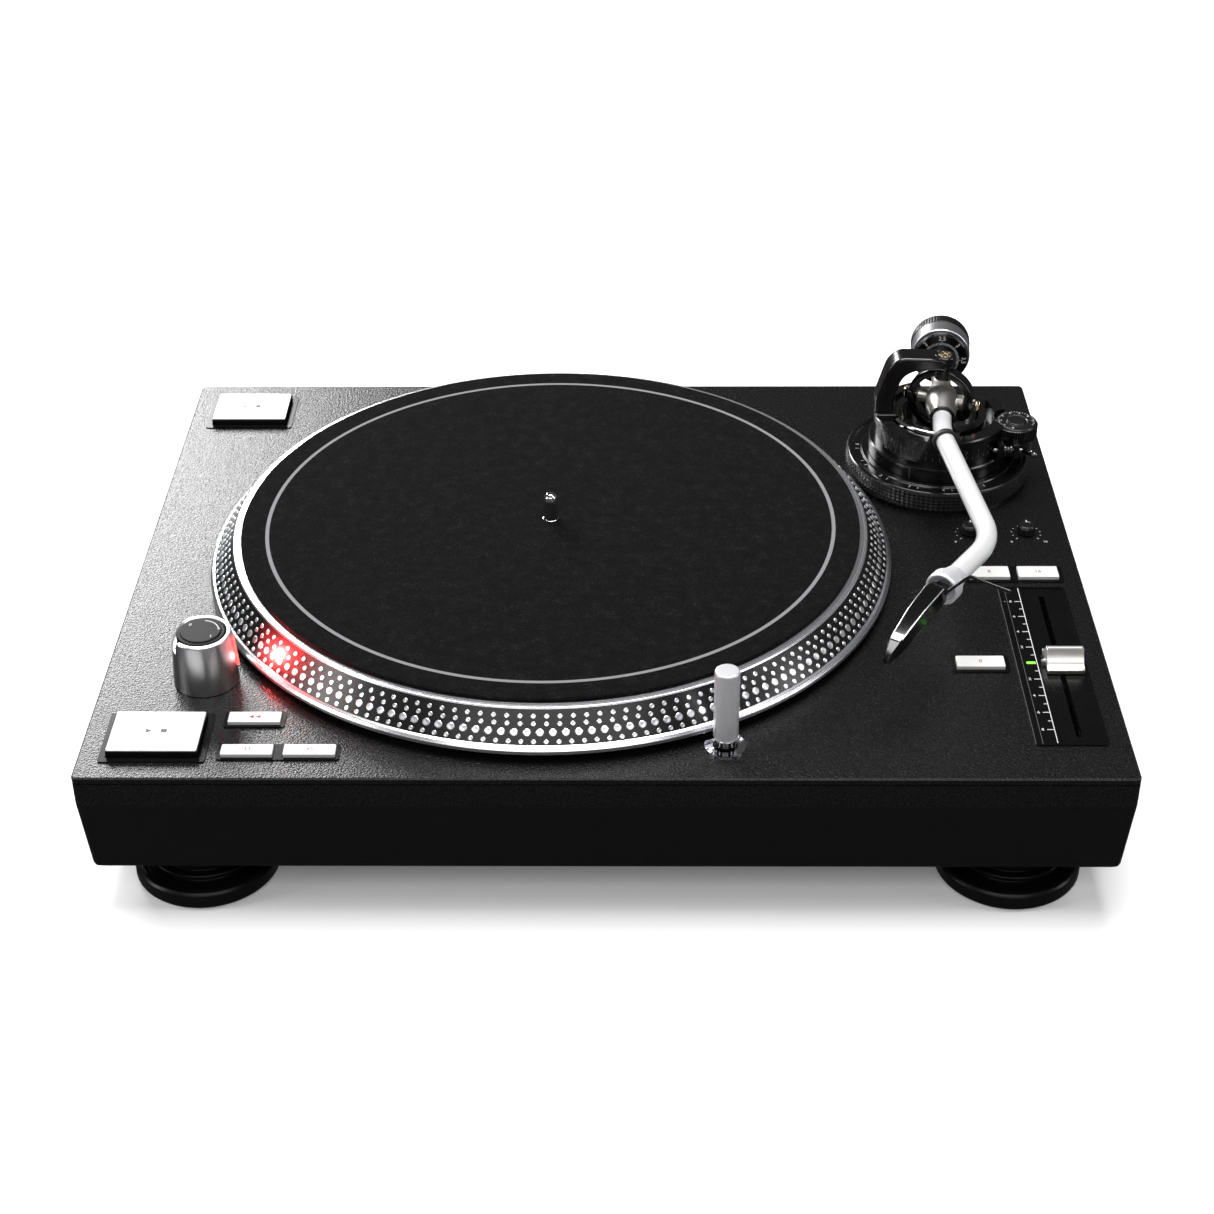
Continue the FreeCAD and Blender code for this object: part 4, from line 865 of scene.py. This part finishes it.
def fader_knob():
    """Satin metal grip with hollowed slopes, a white line along its ridge and a small pointer."""
    lowest, highest = low("pitch_fader_knob"), high("pitch_fader_knob")
    centre = middle("pitch_fader_knob")
    half = (highest.y - lowest.y) / 2
    slope = []
    for step in range(9):
        share = step / 8
        slope.append((half - share * (half - 1.5), 2.6 + (9.1 - 2.6) * share ** 2.4))
    outline = [(-half, 0.8), (half, 0.8)] + slope + [(-y, z) for y, z in reversed(slope)]
    width = highest.x - lowest.x
    place = rotated(laid_along(at(lowest.x, centre.y, 0), (0, 1, 0)), 90, "X")
    mesh = bmesh.new()
    slab(mesh, outline, width, 0.35, place)
    stem_top, stem_foot = 1.6, lowest.z - DECK
    slab(mesh, rectangle(centre.x - 2.7, centre.x - 0.7, centre.y - 2.5, centre.y + 2.5),
         stem_top - stem_foot, 0, raised(stem_foot))
    piece("pitch_fader_grip", mesh, "pitch_fader", "silver", "satin_nickel", replaces=["pitch_fader_knob"])
    mesh = bmesh.new()
    slab(mesh, rectangle(lowest.x + 0.6, highest.x - 0.6, centre.y - 0.5, centre.y + 0.5, 0.3), 0.35, 0.1,
         raised(9.0))
    tip, root = lowest.x - 1.6, lowest.x + 0.3
    slab(mesh, [(tip, centre.y), (root, centre.y - 1.1), (root, centre.y + 1.1)], 1.2, 0.2, raised(1.4))
    piece("pitch_fader_line", mesh, "pitch_fader", "button_white")


def trim_knobs():
    for name in ("torque_knob", "brake_knob"):
        centre = middle(name)
        place = over(centre)
        mesh = bmesh.new()
        lathe(mesh, [(0, -10), (1.5, -10), (1.5, 0.35), (4.3, 0.35), (4.3, 4.4), (3.7, 5.3), (2.6, 5.3),
                     (2.2, 5.0), (0, 5.0)], place, 0.3, 48)
        knurl(mesh, 3.0, 4.5, 0.6, 4.4, 24, 0, 0.3, place, 0.3)
        piece(name + "_grip", mesh, name, "black_plastic", replaces=[name])
        mesh = bmesh.new()
        bar(mesh, -0.25, 0.25, 1.6, 3.6, over(centre, 5.3), 0.05)
        piece(name + "_pointer", mesh, name, "button_white", "white_print")
        mesh = bmesh.new()
        for step in range(11):
            ray(mesh, 6.8, 8.0 if step in (0, 5, 10) else 7.5, 0.35, 225 - 27 * step, over(centre))
        numeral(mesh, "0", 2.2, shifted(place, -8.2, -8.2))
        numeral(mesh, "10", 2.2, shifted(place, 8.4, -8.2))
        piece(name + "_scale", mesh, "plinth", "button_white", "white_print")


# ------------------------------------------------------------------ tonearm base
RING_R, RING_TOP, RING_BORE = 47.3, 12.5, 36.05
DRUM_R, DRUM_TOP = 33.0, 30.0
BASE_TOP = 34.5
LIFT_R = 25.5                                  # mid radius of the lift arc


def height_ring():
    """Height adjustment ring: pyramid knurling round a glossy stepped disc."""
    place = over(PIVOT)
    mesh = bmesh.new()
    lathe(mesh, [(RING_BORE, 1.3), (46.4, 1.3), (46.4, RING_TOP - 0.5), (45.8, RING_TOP), (44.2, RING_TOP),
                 (43.7, RING_TOP - 0.7), (39.6, RING_TOP - 0.7), (39.2, RING_TOP), (RING_BORE, RING_TOP)],
          place, 0.25, 180)
    piece("height_ring_disc", mesh, "height_ring", "gloss_black", replaces=["height_ring"])
    mesh = bmesh.new()
    knurl(mesh, 45.9, RING_R, 1.6, RING_TOP - 0.4, 118, 5, 0.75, place)
    piece("height_ring_knurl", mesh, "height_ring", "black_anodised", smooth=15)
    groove = over(PIVOT, RING_TOP - 0.7)
    mesh = bmesh.new()
    for index in range(6):
        degrees = 172 + 24 * index
        ray(mesh, 40.6, 42.4, 0.3, degrees + 6, groove)
        dial_number(mesh, index, 2.6, groove, 41.5, math.radians(degrees), 90)
    piece("height_ring_marks", mesh, "height_ring", "button_white", "grey_print")


def base_marks():
    """Number band round the drum, and index lines on the step below it."""
    mesh = bmesh.new()
    for step in range(25):
        degrees = 168 + 6 * step
        angle = math.radians(degrees)
        outward = polar(1, angle)
        spot = facing(at(PIVOT.x, PIVOT.y, DRUM_TOP - 3.2) + outward * (DRUM_R + 0.02), outward)
        bar(mesh, -0.15, 0.15, -3.6, -2.0 if step % 2 else -1.2, spot)
        if step % 2 == 0:
            numeral(mesh, str(step // 2 % 10), 2.4, shifted(spot, 0, 0.6))
    for degrees in (240, 283):
        angle = math.radians(degrees)
        outward = polar(1, angle)
        bar(mesh, -0.2, 0.2, -3.0, 3.0, facing(at(PIVOT.x, PIVOT.y, 16) + outward * 36.02, outward))
    piece("arm_base_numbers", mesh, "arm_base", "button_white", "dim_print")


def yoke():
    """Arched bridge that holds the upper pivot bearing."""
    left = PIVOT.x - 34.3
    top = 68.0
    outline = [(left, BASE_TOP - 0.2), (left, 44), (left + 5.5, top - 5), (left + 11, top),
               (PIVOT.x - 6, top - 0.6), (PIVOT.x, top - 2.2), (PIVOT.x, 61), (left + 19, 60.6),
               (left + 13, 57), (left + 9, 45), (left + 9.5, BASE_TOP - 0.2)]
    outline = [point.xy for point in softened([Vector((x, z, 0)) for x, z in outline], 3.5)]
    half = 6.3
    place = rotated(Matrix.Translation((0, PIVOT.y + half, DECK)), 90, "X")
    mesh = bmesh.new()
    slab(mesh, outline, 2 * half, 1.5, place, 4)
    lathe(mesh, [(2.6, 60.1), (5.0, 60.1), (5.5, 60.8), (5.5, 66.4), (5.0, 67.2), (2.6, 67.2)],
          over(PIVOT), 0.5, 64)
    lathe(mesh, [(5.3, 61.6), (5.75, 61.6), (5.75, 62.2), (5.3, 62.2)], over(PIVOT), 0.1, 64)
    slab(mesh, rectangle(left + 0.6, left + 12, PIVOT.y - 8.5, PIVOT.y + 8.5, 2.0), 2.4, 0.7,
         raised(BASE_TOP))
    piece("yoke_arch", mesh, "arm_base", "black_metal", replaces=["yoke"])


def cross_screw(mesh, radius, place, thickness=1.0):
    """Round head with a cross recess: four raised quarters on a dished disc."""
    lathe(mesh, [(0, -thickness), (radius, -thickness), (radius, -0.15), (radius - 0.3, 0.1), (0, 0.1)],
          place, 0.1, 48)
    gap = 0.38
    outer = radius - 0.45
    for quarter in range(4):
        corner = [Vector((gap, gap)), Vector((outer, gap))]
        arc = [polar(outer, math.radians(degrees)).xy for degrees in (22, 45, 68)]
        outline = corner + arc + [Vector((gap, outer))]
        turned = rotated(place, 90 * quarter + 25)
        slab(mesh, outline, 0.55, 0.12, turned)


def pivot_screw():
    mesh = bmesh.new()
    cross_screw(mesh, 3.9, over(PIVOT, 66.9), 1.4)
    piece("pivot_screw_head", mesh, "arm_base", "gold", replaces=["yoke_pivot_screw"])


def antiskate_dial():
    centre = Vector((ANTISKATE.x, ANTISKATE.y, 0))
    place = over(centre)
    mesh = bmesh.new()
    lathe(mesh, [(0, 18), (2, 18), (2, 24), (10.3, 24), (10.8, 24.8), (10.8, 31.6), (10.2, 32.6), (6.0, 32.6),
                 (5.6, 32.1), (5.0, 32.1), (4.7, 32.9), (3.8, 33.0), (0, 32.7)], place, 0.3, 96)
    knurl(mesh, 9.5, 11.2, 24.3, 31.9, 60, 0, 0.4, place, 0.4)
    piece("antiskate_dial", mesh, "antiskate_knob", "black_plastic", replaces=["antiskate_knob"])
    mesh = bmesh.new()
    face = over(centre, 32.6)
    for index in range(8):
        degrees = 250 - 36 * index
        dial_number(mesh, index, 2.3, face, 8.1, math.radians(degrees), -90)
        for part in (9, 18, 27):
            ray(mesh, 8.6, 9.4, 0.22, degrees - part, face)
    piece("antiskate_numbers", mesh, "antiskate_knob", "button_white", "white_print")


def cue_lever():
    lowest, highest = low("cue_lever"), high("cue_lever")
    axis = joint_point("cue_lever_lift")
    elbow_x = highest.x - 5.7
    points = [Vector((lowest.x + 0.6, axis.y, axis.z)), Vector((elbow_x, axis.y, axis.z)),
              Vector((elbow_x + 3.6, axis.y - 9, axis.z + 2.5))]
    mesh = bmesh.new()
    sweep(mesh, softened(points, 2.4, closed=False), 1.35, 24)
    sweep(mesh, [points[2] - Vector((0.6, -1.4, -0.4)), points[2]], (1.6, 2.0), 24, 4)
    piece("cue_lever_rod", mesh, "cue_lever", "chrome", "black_chrome", replaces=["cue_lever"])
    mesh = bmesh.new()
    hub = facing(Vector((axis.x + 3.4, axis.y, axis.z)), (1, 0, 0))
    lathe(mesh, [(0, 0), (3.0, 0), (3.0, 1.2), (2.3, 1.6), (2.3, 2.6), (3.0, 3.0), (3.0, 4.3), (0, 4.3)],
          hub, 0.2, 40)
    piece("cue_lever_hub", mesh, "cue_lever", "black_metal")


def lift_arc():
    """Curved chrome rest that raises the tube."""
    points = arc_points(PIVOT, LIFT_R, 205, 277, 24, DECK + 35.25)
    mesh = bmesh.new()
    sweep(mesh, points, 1.1, 20)
    post = over(PIVOT + polar(LIFT_R, math.radians(215)))
    lathe(mesh, [(0, 20.5), (1.9, 20.5), (1.9, 34.8), (0, 34.8)], post, 0.3, 32)
    piece("lift_arc", mesh, "lift_platform", "chrome", replaces=["lift_platform"])


# ------------------------------------------------------------------ gimbal and tonearm
GIMBAL_IN, GIMBAL_OUT = 13.5, 17.5
ARM_TILT = 1.2                                 # degrees, front end up
BEARING = -joint_axis("arm_lift")              # horizontal bearing axis, towards its right-hand end
LEG_HEADINGS = (-96.0, -83.9, -123.5)          # plan directions of the tube's three straight legs
LEG_LENGTHS = (40.0, 101.9, 100.7)
BEND_REACH = (6.4, 10.1)                       # how far before each corner its bend starts
TUBE_R = 4.75
HOUSING_FRONT = 22.0
COLLAR_START, COLLAR_LENGTH = 37.7, 14.0       # along the last leg
FRONT_AXIS = -REAR_AXIS


def plan_heading(degrees):
    """Unit vector of a plan direction, raised with the tilt of the arm."""
    flat = Vector((math.cos(math.radians(degrees)), math.sin(math.radians(degrees)), 0))
    return Matrix.Rotation(math.radians(-ARM_TILT), 3, BEARING) @ flat


def gimbal():
    mesh = bmesh.new()
    hoop = facing(PIVOT, UP.cross(BEARING))
    lathe(mesh, [(GIMBAL_IN, -3.5), (GIMBAL_OUT, -3.5), (GIMBAL_OUT, 3.5), (GIMBAL_IN, 3.5)], hoop, 1.2, 96)
    for side in (-1, 1):
        boss = facing(PIVOT, BEARING * side)
        lathe(mesh, [(2.2, GIMBAL_OUT - 2.5), (4.1, GIMBAL_OUT - 2.5), (4.3, GIMBAL_OUT),
                     (4.0, GIMBAL_OUT + 1.2), (2.2, GIMBAL_OUT + 1.2)], boss, 0.4, 48)
    upright = Matrix.Translation(PIVOT)
    lathe(mesh, [(0, 12), (4.4, 12), (4.9, 12.8), (4.9, 17.4), (2.5, 17.7), (2.5, 21.5), (0, 21.5)],
          upright, 0.3, 48)
    lathe(mesh, [(0, -24.5), (3, -24.5), (3, -16), (0, -16)], upright, 0.2, 32)
    piece("gimbal_hoop", mesh, "gimbal", "black_metal", replaces=["gimbal_ring"])
    mesh = bmesh.new()
    for side in (-1, 1):
        cross_screw(mesh, 2.9, facing(PIVOT + BEARING * (side * (GIMBAL_OUT + 1.6)), BEARING * side), 1.0)
        lathe(mesh, [(0, 12.65), (1.6, 12.65), (2.1, 14), (2.1, GIMBAL_OUT + 0.8), (0, GIMBAL_OUT + 0.8)],
              facing(PIVOT, BEARING * side), 0.1, 32)
    piece("gimbal_bearing_screws", mesh, "gimbal", "gold", replaces=["gimbal_screws"])


def pivot_housing():
    """Bullet-shaped satin housing, its bearing ears and the rear shaft."""
    along = facing(PIVOT, FRONT_AXIS)
    mesh = bmesh.new()
    lathe(mesh, [(0, -30), (4.9, -30), (5.0, -12), (6.0, -9.5), (7.5, -4), (8.2, 2), (8.0, 9), (7.1, 16),
                 (6.3, 20.6), (6.2, 21.4), (0, 21.4)], along, 3.0, 96)
    for side in (-1, 1):
        ear = facing(PIVOT, BEARING * side)
        lathe(mesh, [(0, 2), (3.6, 2), (3.6, 7.6), (4.15, 11.9), (3.6, 12.5), (0, 12.5)], ear, 0.25, 64)
    piece("pivot_housing_bullet", mesh, "arm", "silver", "satin_nickel", replaces=["pivot_housing"])
    mesh = bmesh.new()
    lathe(mesh, [(4.6, 20.9), (6.25, 20.9), (6.4, 21.3), (6.4, 21.9), (5.9, 22.3), (4.6, 22.3)], along, 0.2,
          72)
    piece("pivot_housing_lip", mesh, "arm", "gloss_black")
    mesh = bmesh.new()
    back = facing(PIVOT, REAR_AXIS)
    lathe(mesh, [(0, 29), (5.0, 29), (5.0, 61.5), (4.4, 62.5), (0, 62.5)], back, 0.4, 48)
    piece("rear_shaft", mesh, "arm", "steel")


def tube_corners():
    points = [PIVOT]
    for degrees, length in zip(LEG_HEADINGS, LEG_LENGTHS):
        points.append(points[-1] + plan_heading(degrees) * length)
    return points


def bent(corner, before, after, reach, steps=14):
    start, end = corner - before * reach, corner + after * reach
    return [start * (1 - t) ** 2 + corner * (2 * t * (1 - t)) + end * t ** 2
            for t in [step / steps for step in range(steps + 1)]]


def arm_tube():
    """S-shaped tube of pearl lacquer, with the black clip ring that it parks in."""
    corners = tube_corners()
    legs = [plan_heading(degrees) for degrees in LEG_HEADINGS]
    points = [PIVOT + legs[0] * (HOUSING_FRONT - 1.5)]
    points += bent(corners[1], legs[0], legs[1], BEND_REACH[0] * 1.6)
    points += bent(corners[2], legs[1], legs[2], BEND_REACH[1] * 1.5, 24)
    points += [corners[2] + legs[2] * (COLLAR_START + 0.4)]
    mesh = bmesh.new()
    sweep(mesh, points, TUBE_R, 64, 1)
    piece("arm_tube_lacquered", mesh, "arm", "tube_white", replaces=["arm_tube"])
    mesh = bmesh.new()
    ring_at = corners[1] + legs[1] * 5.5
    lathe(mesh, [(TUBE_R - 0.2, -1.6), (TUBE_R + 1.3, -1.6), (TUBE_R + 1.5, 0), (TUBE_R + 1.3, 1.6),
                 (TUBE_R - 0.2, 1.6)], facing(ring_at, legs[1]), 0.5, 64)
    piece("arm_tube_ring", mesh, "arm", "foot_rubber", "black_rubber")


def locking_collar():
    start = tube_corners()[2] + plan_heading(LEG_HEADINGS[2]) * COLLAR_START
    along = facing(start, plan_heading(LEG_HEADINGS[2]))
    mesh = bmesh.new()
    lathe(mesh, [(3.6, 0.3), (5.2, 0.3), (5.4, 0.9), (5.4, 3.0), (6.1, 3.6), (6.1, 6.4), (7.5, 7.2),
                 (7.8, 7.8), (7.8, 13.0), (7.3, 13.9), (6.5, 13.9), (6.0, 13.2), (6.0, 10.5), (3.6, 10.5)],
          along, 0.3, 96)
    piece("locking_collar_turned", mesh, "locking_collar", "silver", "collar_metal_painted_reflection",
          replaces=["locking_collar"])


def cartridge_frame():
    end = tube_corners()[2] + plan_heading(LEG_HEADINGS[2]) * (COLLAR_START + COLLAR_LENGTH)
    return laid_along(end, plan_heading(LEG_HEADINGS[2]))


def cartridge():
    """Slim wedge-shaped cartridge with bright edges and a small blank label near its nose."""
    place = cartridge_frame()
    mesh = bmesh.new()
    loft(mesh, [(-1.9, 2.9, -2.9, 2.9, 0.8), (0.6, 3.0, -3.2, 3.1, 0.8), (1.6, 3.9, -4.2, 4.2, 0.9),
                (8, 4.2, -4.7, 4.8, 0.9), (24, 3.7, -7.0, 2.2, 0.8), (36, 3.0, -10.2, -1.5, 0.7),
                (43, 2.5, -11.2, -4.0, 0.6), (48, 1.8, -11.2, -6.8, 0.5), (50.6, 1.1, -10.8, -9.0, 0.4)],
         place)
    piece("cartridge_body", mesh, "arm", "gloss_black", replaces=["cartridge"])
    mesh = bmesh.new()
    for side in (-1, 1):
        points = [Vector((6, side * 4.05, 4.9)), Vector((24, side * 3.55, 2.25)),
                  Vector((41, side * 2.55, -3.25))]
        sweep(mesh, [place @ point for point in softened(points, 5, closed=False)], 0.24, 10)
    piece("cartridge_edges", mesh, "arm", "silver")
    mesh = bmesh.new()
    label = rotated(shifted(place, 40.6, 0, -2.85), 20.6, "Y")
    slab(mesh, rectangle(-1.9, 1.9, -2.4, 2.4, 0.3), 0.5, 0.1, label)
    piece("cartridge_label", mesh, "arm", "button_white")
    mesh = bmesh.new()
    for x in (-1.0, 0.0, 1.0):
        bar(mesh, x - 0.15, x + 0.15, -1.9, 1.9, shifted(label, 0, 0, 0.5), 0.03)
    piece("cartridge_label_lines", mesh, "arm", "black_plastic", "grey_print")
    mesh = bmesh.new()
    points = [Vector((38.5, 0, -11.5)), Vector((46.5, 0, -11.7)), Vector((49.0, 0, -13.4))]
    sweep(mesh, [place @ point for point in softened(points, 1.5, closed=False)], [0.8] * 5 + [0.55, 0.3], 16)
    piece("stylus_cantilever", mesh, "arm", "black_plastic", replaces=["stylus"])


def finger_lift():
    place = cartridge_frame()
    points = [Vector((3.8, 4.0, 1.7)), Vector((-2.8, 11.7, 10)), Vector((-1.2, 31.6, 10))]
    mesh = bmesh.new()
    sweep(mesh, [place @ point for point in softened(points, 2.2, closed=False)], 0.8, 20)
    sweep(mesh, [place @ Vector((-1.4, 28.5, 10)), place @ Vector((-1.2, 31.6, 10))], 1.0, 20)
    piece("finger_lift_wire", mesh, "arm", "black_metal", replaces=["finger_lift"])


def counterweight():
    """Counterweight: bright band, ribbed rear grip, and the dial ring with its numbers."""
    back = facing(PIVOT, REAR_AXIS)
    mesh = bmesh.new()
    lathe(mesh, [(8.1, 49.0), (14.9, 49.0), (15.4, 49.5), (15.4, 59.4), (8.1, 59.4)], back, 0.3, 120)
    piece("counterweight_band", mesh, "counterweight", "silver", replaces=["counterweight"])
    mesh = bmesh.new()
    lathe(mesh, [(8.1, 59.3), (15.2, 59.3), (15.2, 67.1), (14.4, 67.9), (8.6, 67.9), (8.1, 67.4)], back,
          0.4, 120)
    knurl(mesh, 14.0, 15.8, 59.8, 67.4, 66, 4, 0.6, back, 0.3)
    piece("counterweight_grip", mesh, "counterweight", "black_plastic")
    mesh = bmesh.new()
    lathe(mesh, [(5.3, 45.0), (13.6, 45.0), (14.2, 45.6), (14.2, 48.6), (8.1, 48.6), (8.1, 45.9),
                 (5.3, 45.9)], back, 0.2, 120)
    piece("force_dial_ring", mesh, "force_dial", "gloss_black", replaces=["force_dial"])
    mesh = bmesh.new()
    face = facing(PIVOT + REAR_AXIS * 45.0, FRONT_AXIS)
    for step in range(80):
        degrees = 90 - 4.5 * step
        ray(mesh, 8.4, 10.6 if step % 10 == 0 else 9.7, 0.16, degrees, face)
    for index in range(8):
        dial_number(mesh, index * 0.5, 3.2, face, 12.0, math.radians(90 + 45 * (5 - index)), -90)
    piece("force_dial_numbers", mesh, "force_dial", "button_white", "white_print")


# ------------------------------------------------------------------ feet and rear sockets
def feet():
    for name in ("foot_front_left", "foot_front_right", "foot_rear_left", "foot_rear_right"):
        centre = middle(name)
        place = Matrix.Translation((centre.x, centre.y, 0))
        mesh = bmesh.new()
        lathe(mesh, [(0, 0), (31, 0), (33, 2), (33, 7.6), (31.6, 9.3), (29.5, 9.5), (29, 8.4), (24, 8.4),
                     (22.5, 9.2), (22.5, 12), (26.3, 12.4), (26.3, 14.3), (22.5, 14.8), (22.5, 23.7),
                     (5, 23.7), (5, 40), (0, 40)], place, 0.7, 120)
        piece(name + "_cushion", mesh, name, "foot_rubber", replaces=[name])


def rear_sockets():
    lowest, highest = low("phono_sockets"), high("phono_sockets")
    height = middle("phono_sockets").z
    barrel = 4.15
    face = highest.y - 8.0
    inset = 6.55
    mesh, collars = bmesh.new(), []
    for x in (lowest.x + inset, highest.x - inset):
        place = facing(Vector((x, face, height)), (0, 1, 0))
        lathe(mesh, [(1.7, -9), (barrel, -9), (barrel, 7.6), (barrel - 0.4, 8), (1.9, 8), (1.7, 7.6)],
              place, 0.2, 64)
        collars.append(place)
    piece("phono_socket_barrels", mesh, "plinth", "gold", replaces=["phono_sockets"])
    for place, name, finish in zip(collars, ("right", "left"), ("red_socket_ring", "nylon")):
        mesh = bmesh.new()
        lathe(mesh, [(barrel - 0.1, 0), (6.55, 0), (6.55, 0.8), (6.1, 1.2), (barrel - 0.1, 1.2)], place,
              0.3, 64)
        piece("phono_collar_" + name, mesh, "plinth", "nylon", finish)


platter_casting()
strobe_dots()
felt_mat()
spindle()
tower_shell()
power_cap()
target_light()
big_caps()
small_caps()
fader_scale()
fader_knob()
trim_knobs()
height_ring()
base_marks()
yoke()
pivot_screw()
antiskate_dial()
cue_lever()
lift_arc()
gimbal()
pivot_housing()
arm_tube()
locking_collar()
cartridge()
finger_lift()
counterweight()
feet()
rear_sockets()


# ------------------------------------------------------------------ studio, lights and camera
def floor():
    bpy.ops.mesh.primitive_plane_add(size=8.0, location=(0, 0, 0))
    plane = bpy.context.object
    plane.name = "studio_floor"
    material, _, shader = new_material("studio_floor")
    shader.inputs["Base Color"].default_value = (0.9, 0.9, 0.9, 1)
    shader.inputs["Roughness"].default_value = 0.8
    shader.inputs["Emission Color"].default_value = (1, 1, 1, 1)
    shader.inputs["Emission Strength"].default_value = 0.12
    plane.data.materials.append(material)
    plane.visible_glossy = False


# name, place and aim in metres, size in metres, watts
LIGHTS = (
    ("back_left", (-0.74, 1.3, 0.80), (-0.25, -0.05, 0.08), (0.74, 0.5), 27),
    ("overhead", (0.0, 0.25, 2.3), (0, 0.05, 0.0), (1.5, 1.2), 66),
    ("front", (0.0, -1.5, 1.55), (0, 0, 0.05), (2.0, 0.7), 13),
    ("right", (1.5, -0.3, 1.0), (0, 0, 0.05), (0.35, 1.4), 8),
    ("left", (-1.6, -0.5, 0.8), (0, 0, 0.05), (0.35, 1.2), 10),
)


def area_light(name, place, target, size, power):
    light = bpy.data.lights.new(name, "AREA")
    light.shape = "RECTANGLE"
    light.size, light.size_y = size
    light.energy = power
    lamp = bpy.data.objects.new(name, light)
    lamp.location = place
    direction = Vector(target) - Vector(place)
    lamp.rotation_euler = direction.to_track_quat("-Z", "Y").to_euler()
    bpy.context.scene.collection.objects.link(lamp)


def strobe_glow():
    """Red light that the strobe lamp throws on the platter's cone."""
    light = bpy.data.lights.new("strobe_glow", "SPOT")
    light.energy = 0.75
    light.color = (1.0, 0.03, 0.03)
    light.spot_size = math.radians(125)
    light.spot_blend = 0.8
    light.shadow_soft_size = 0.003
    lamp = bpy.data.objects.new("strobe_glow", light)
    angle = math.radians(6)
    outward = polar(1, angle)
    lamp.location = (at(TOWER.x, TOWER.y, 18) + outward * 17.0) * MM
    lamp.rotation_euler = (outward + Vector((0, 0, -0.05))).to_track_quat("-Z", "Y").to_euler()
    bpy.context.scene.collection.objects.link(lamp)


def world():
    backdrop = bpy.data.worlds.new("studio")
    backdrop.use_nodes = True
    background = backdrop.node_tree.nodes["Background"]
    background.inputs["Color"].default_value = (1, 1, 1, 1)
    background.inputs["Strength"].default_value = 0.07
    bpy.context.scene.world = backdrop


# camera: focal length in frame widths, place in metres, angles in degrees
FOCAL = 1.826993
CAMERA_PLACE = Vector((0.01195, -0.92208, DECK * MM + 0.58773))
CAMERA_PITCH = 33.83
CAMERA_YAW = -0.804
CAMERA_ROLL = -0.4385


def camera():
    data = bpy.data.cameras.new("camera")
    data.sensor_width = 36.0
    data.lens = 36.0 * FOCAL
    data.clip_start = 0.01
    eye = bpy.data.objects.new("camera", data)
    yaw, pitch, roll = (math.radians(angle) for angle in (CAMERA_YAW, CAMERA_PITCH, CAMERA_ROLL))
    forward = Vector((math.sin(yaw) * math.cos(pitch), math.cos(yaw) * math.cos(pitch), -math.sin(pitch)))
    right = Vector((math.cos(yaw), -math.sin(yaw), 0))
    up = right.cross(forward)
    right_rolled = right * math.cos(roll) + up * math.sin(roll)
    up_rolled = up * math.cos(roll) - right * math.sin(roll)
    basis = Matrix((right_rolled, up_rolled, -forward)).transposed()
    eye.matrix_world = Matrix.Translation(CAMERA_PLACE) @ basis.to_4x4()
    bpy.context.scene.collection.objects.link(eye)
    bpy.context.scene.camera = eye


bpy.context.scene.view_settings.view_transform = "Standard"
floor()
world()
for settings in LIGHTS:
    area_light(*settings)
strobe_glow()
camera()
bpy.context.view_layer.update()
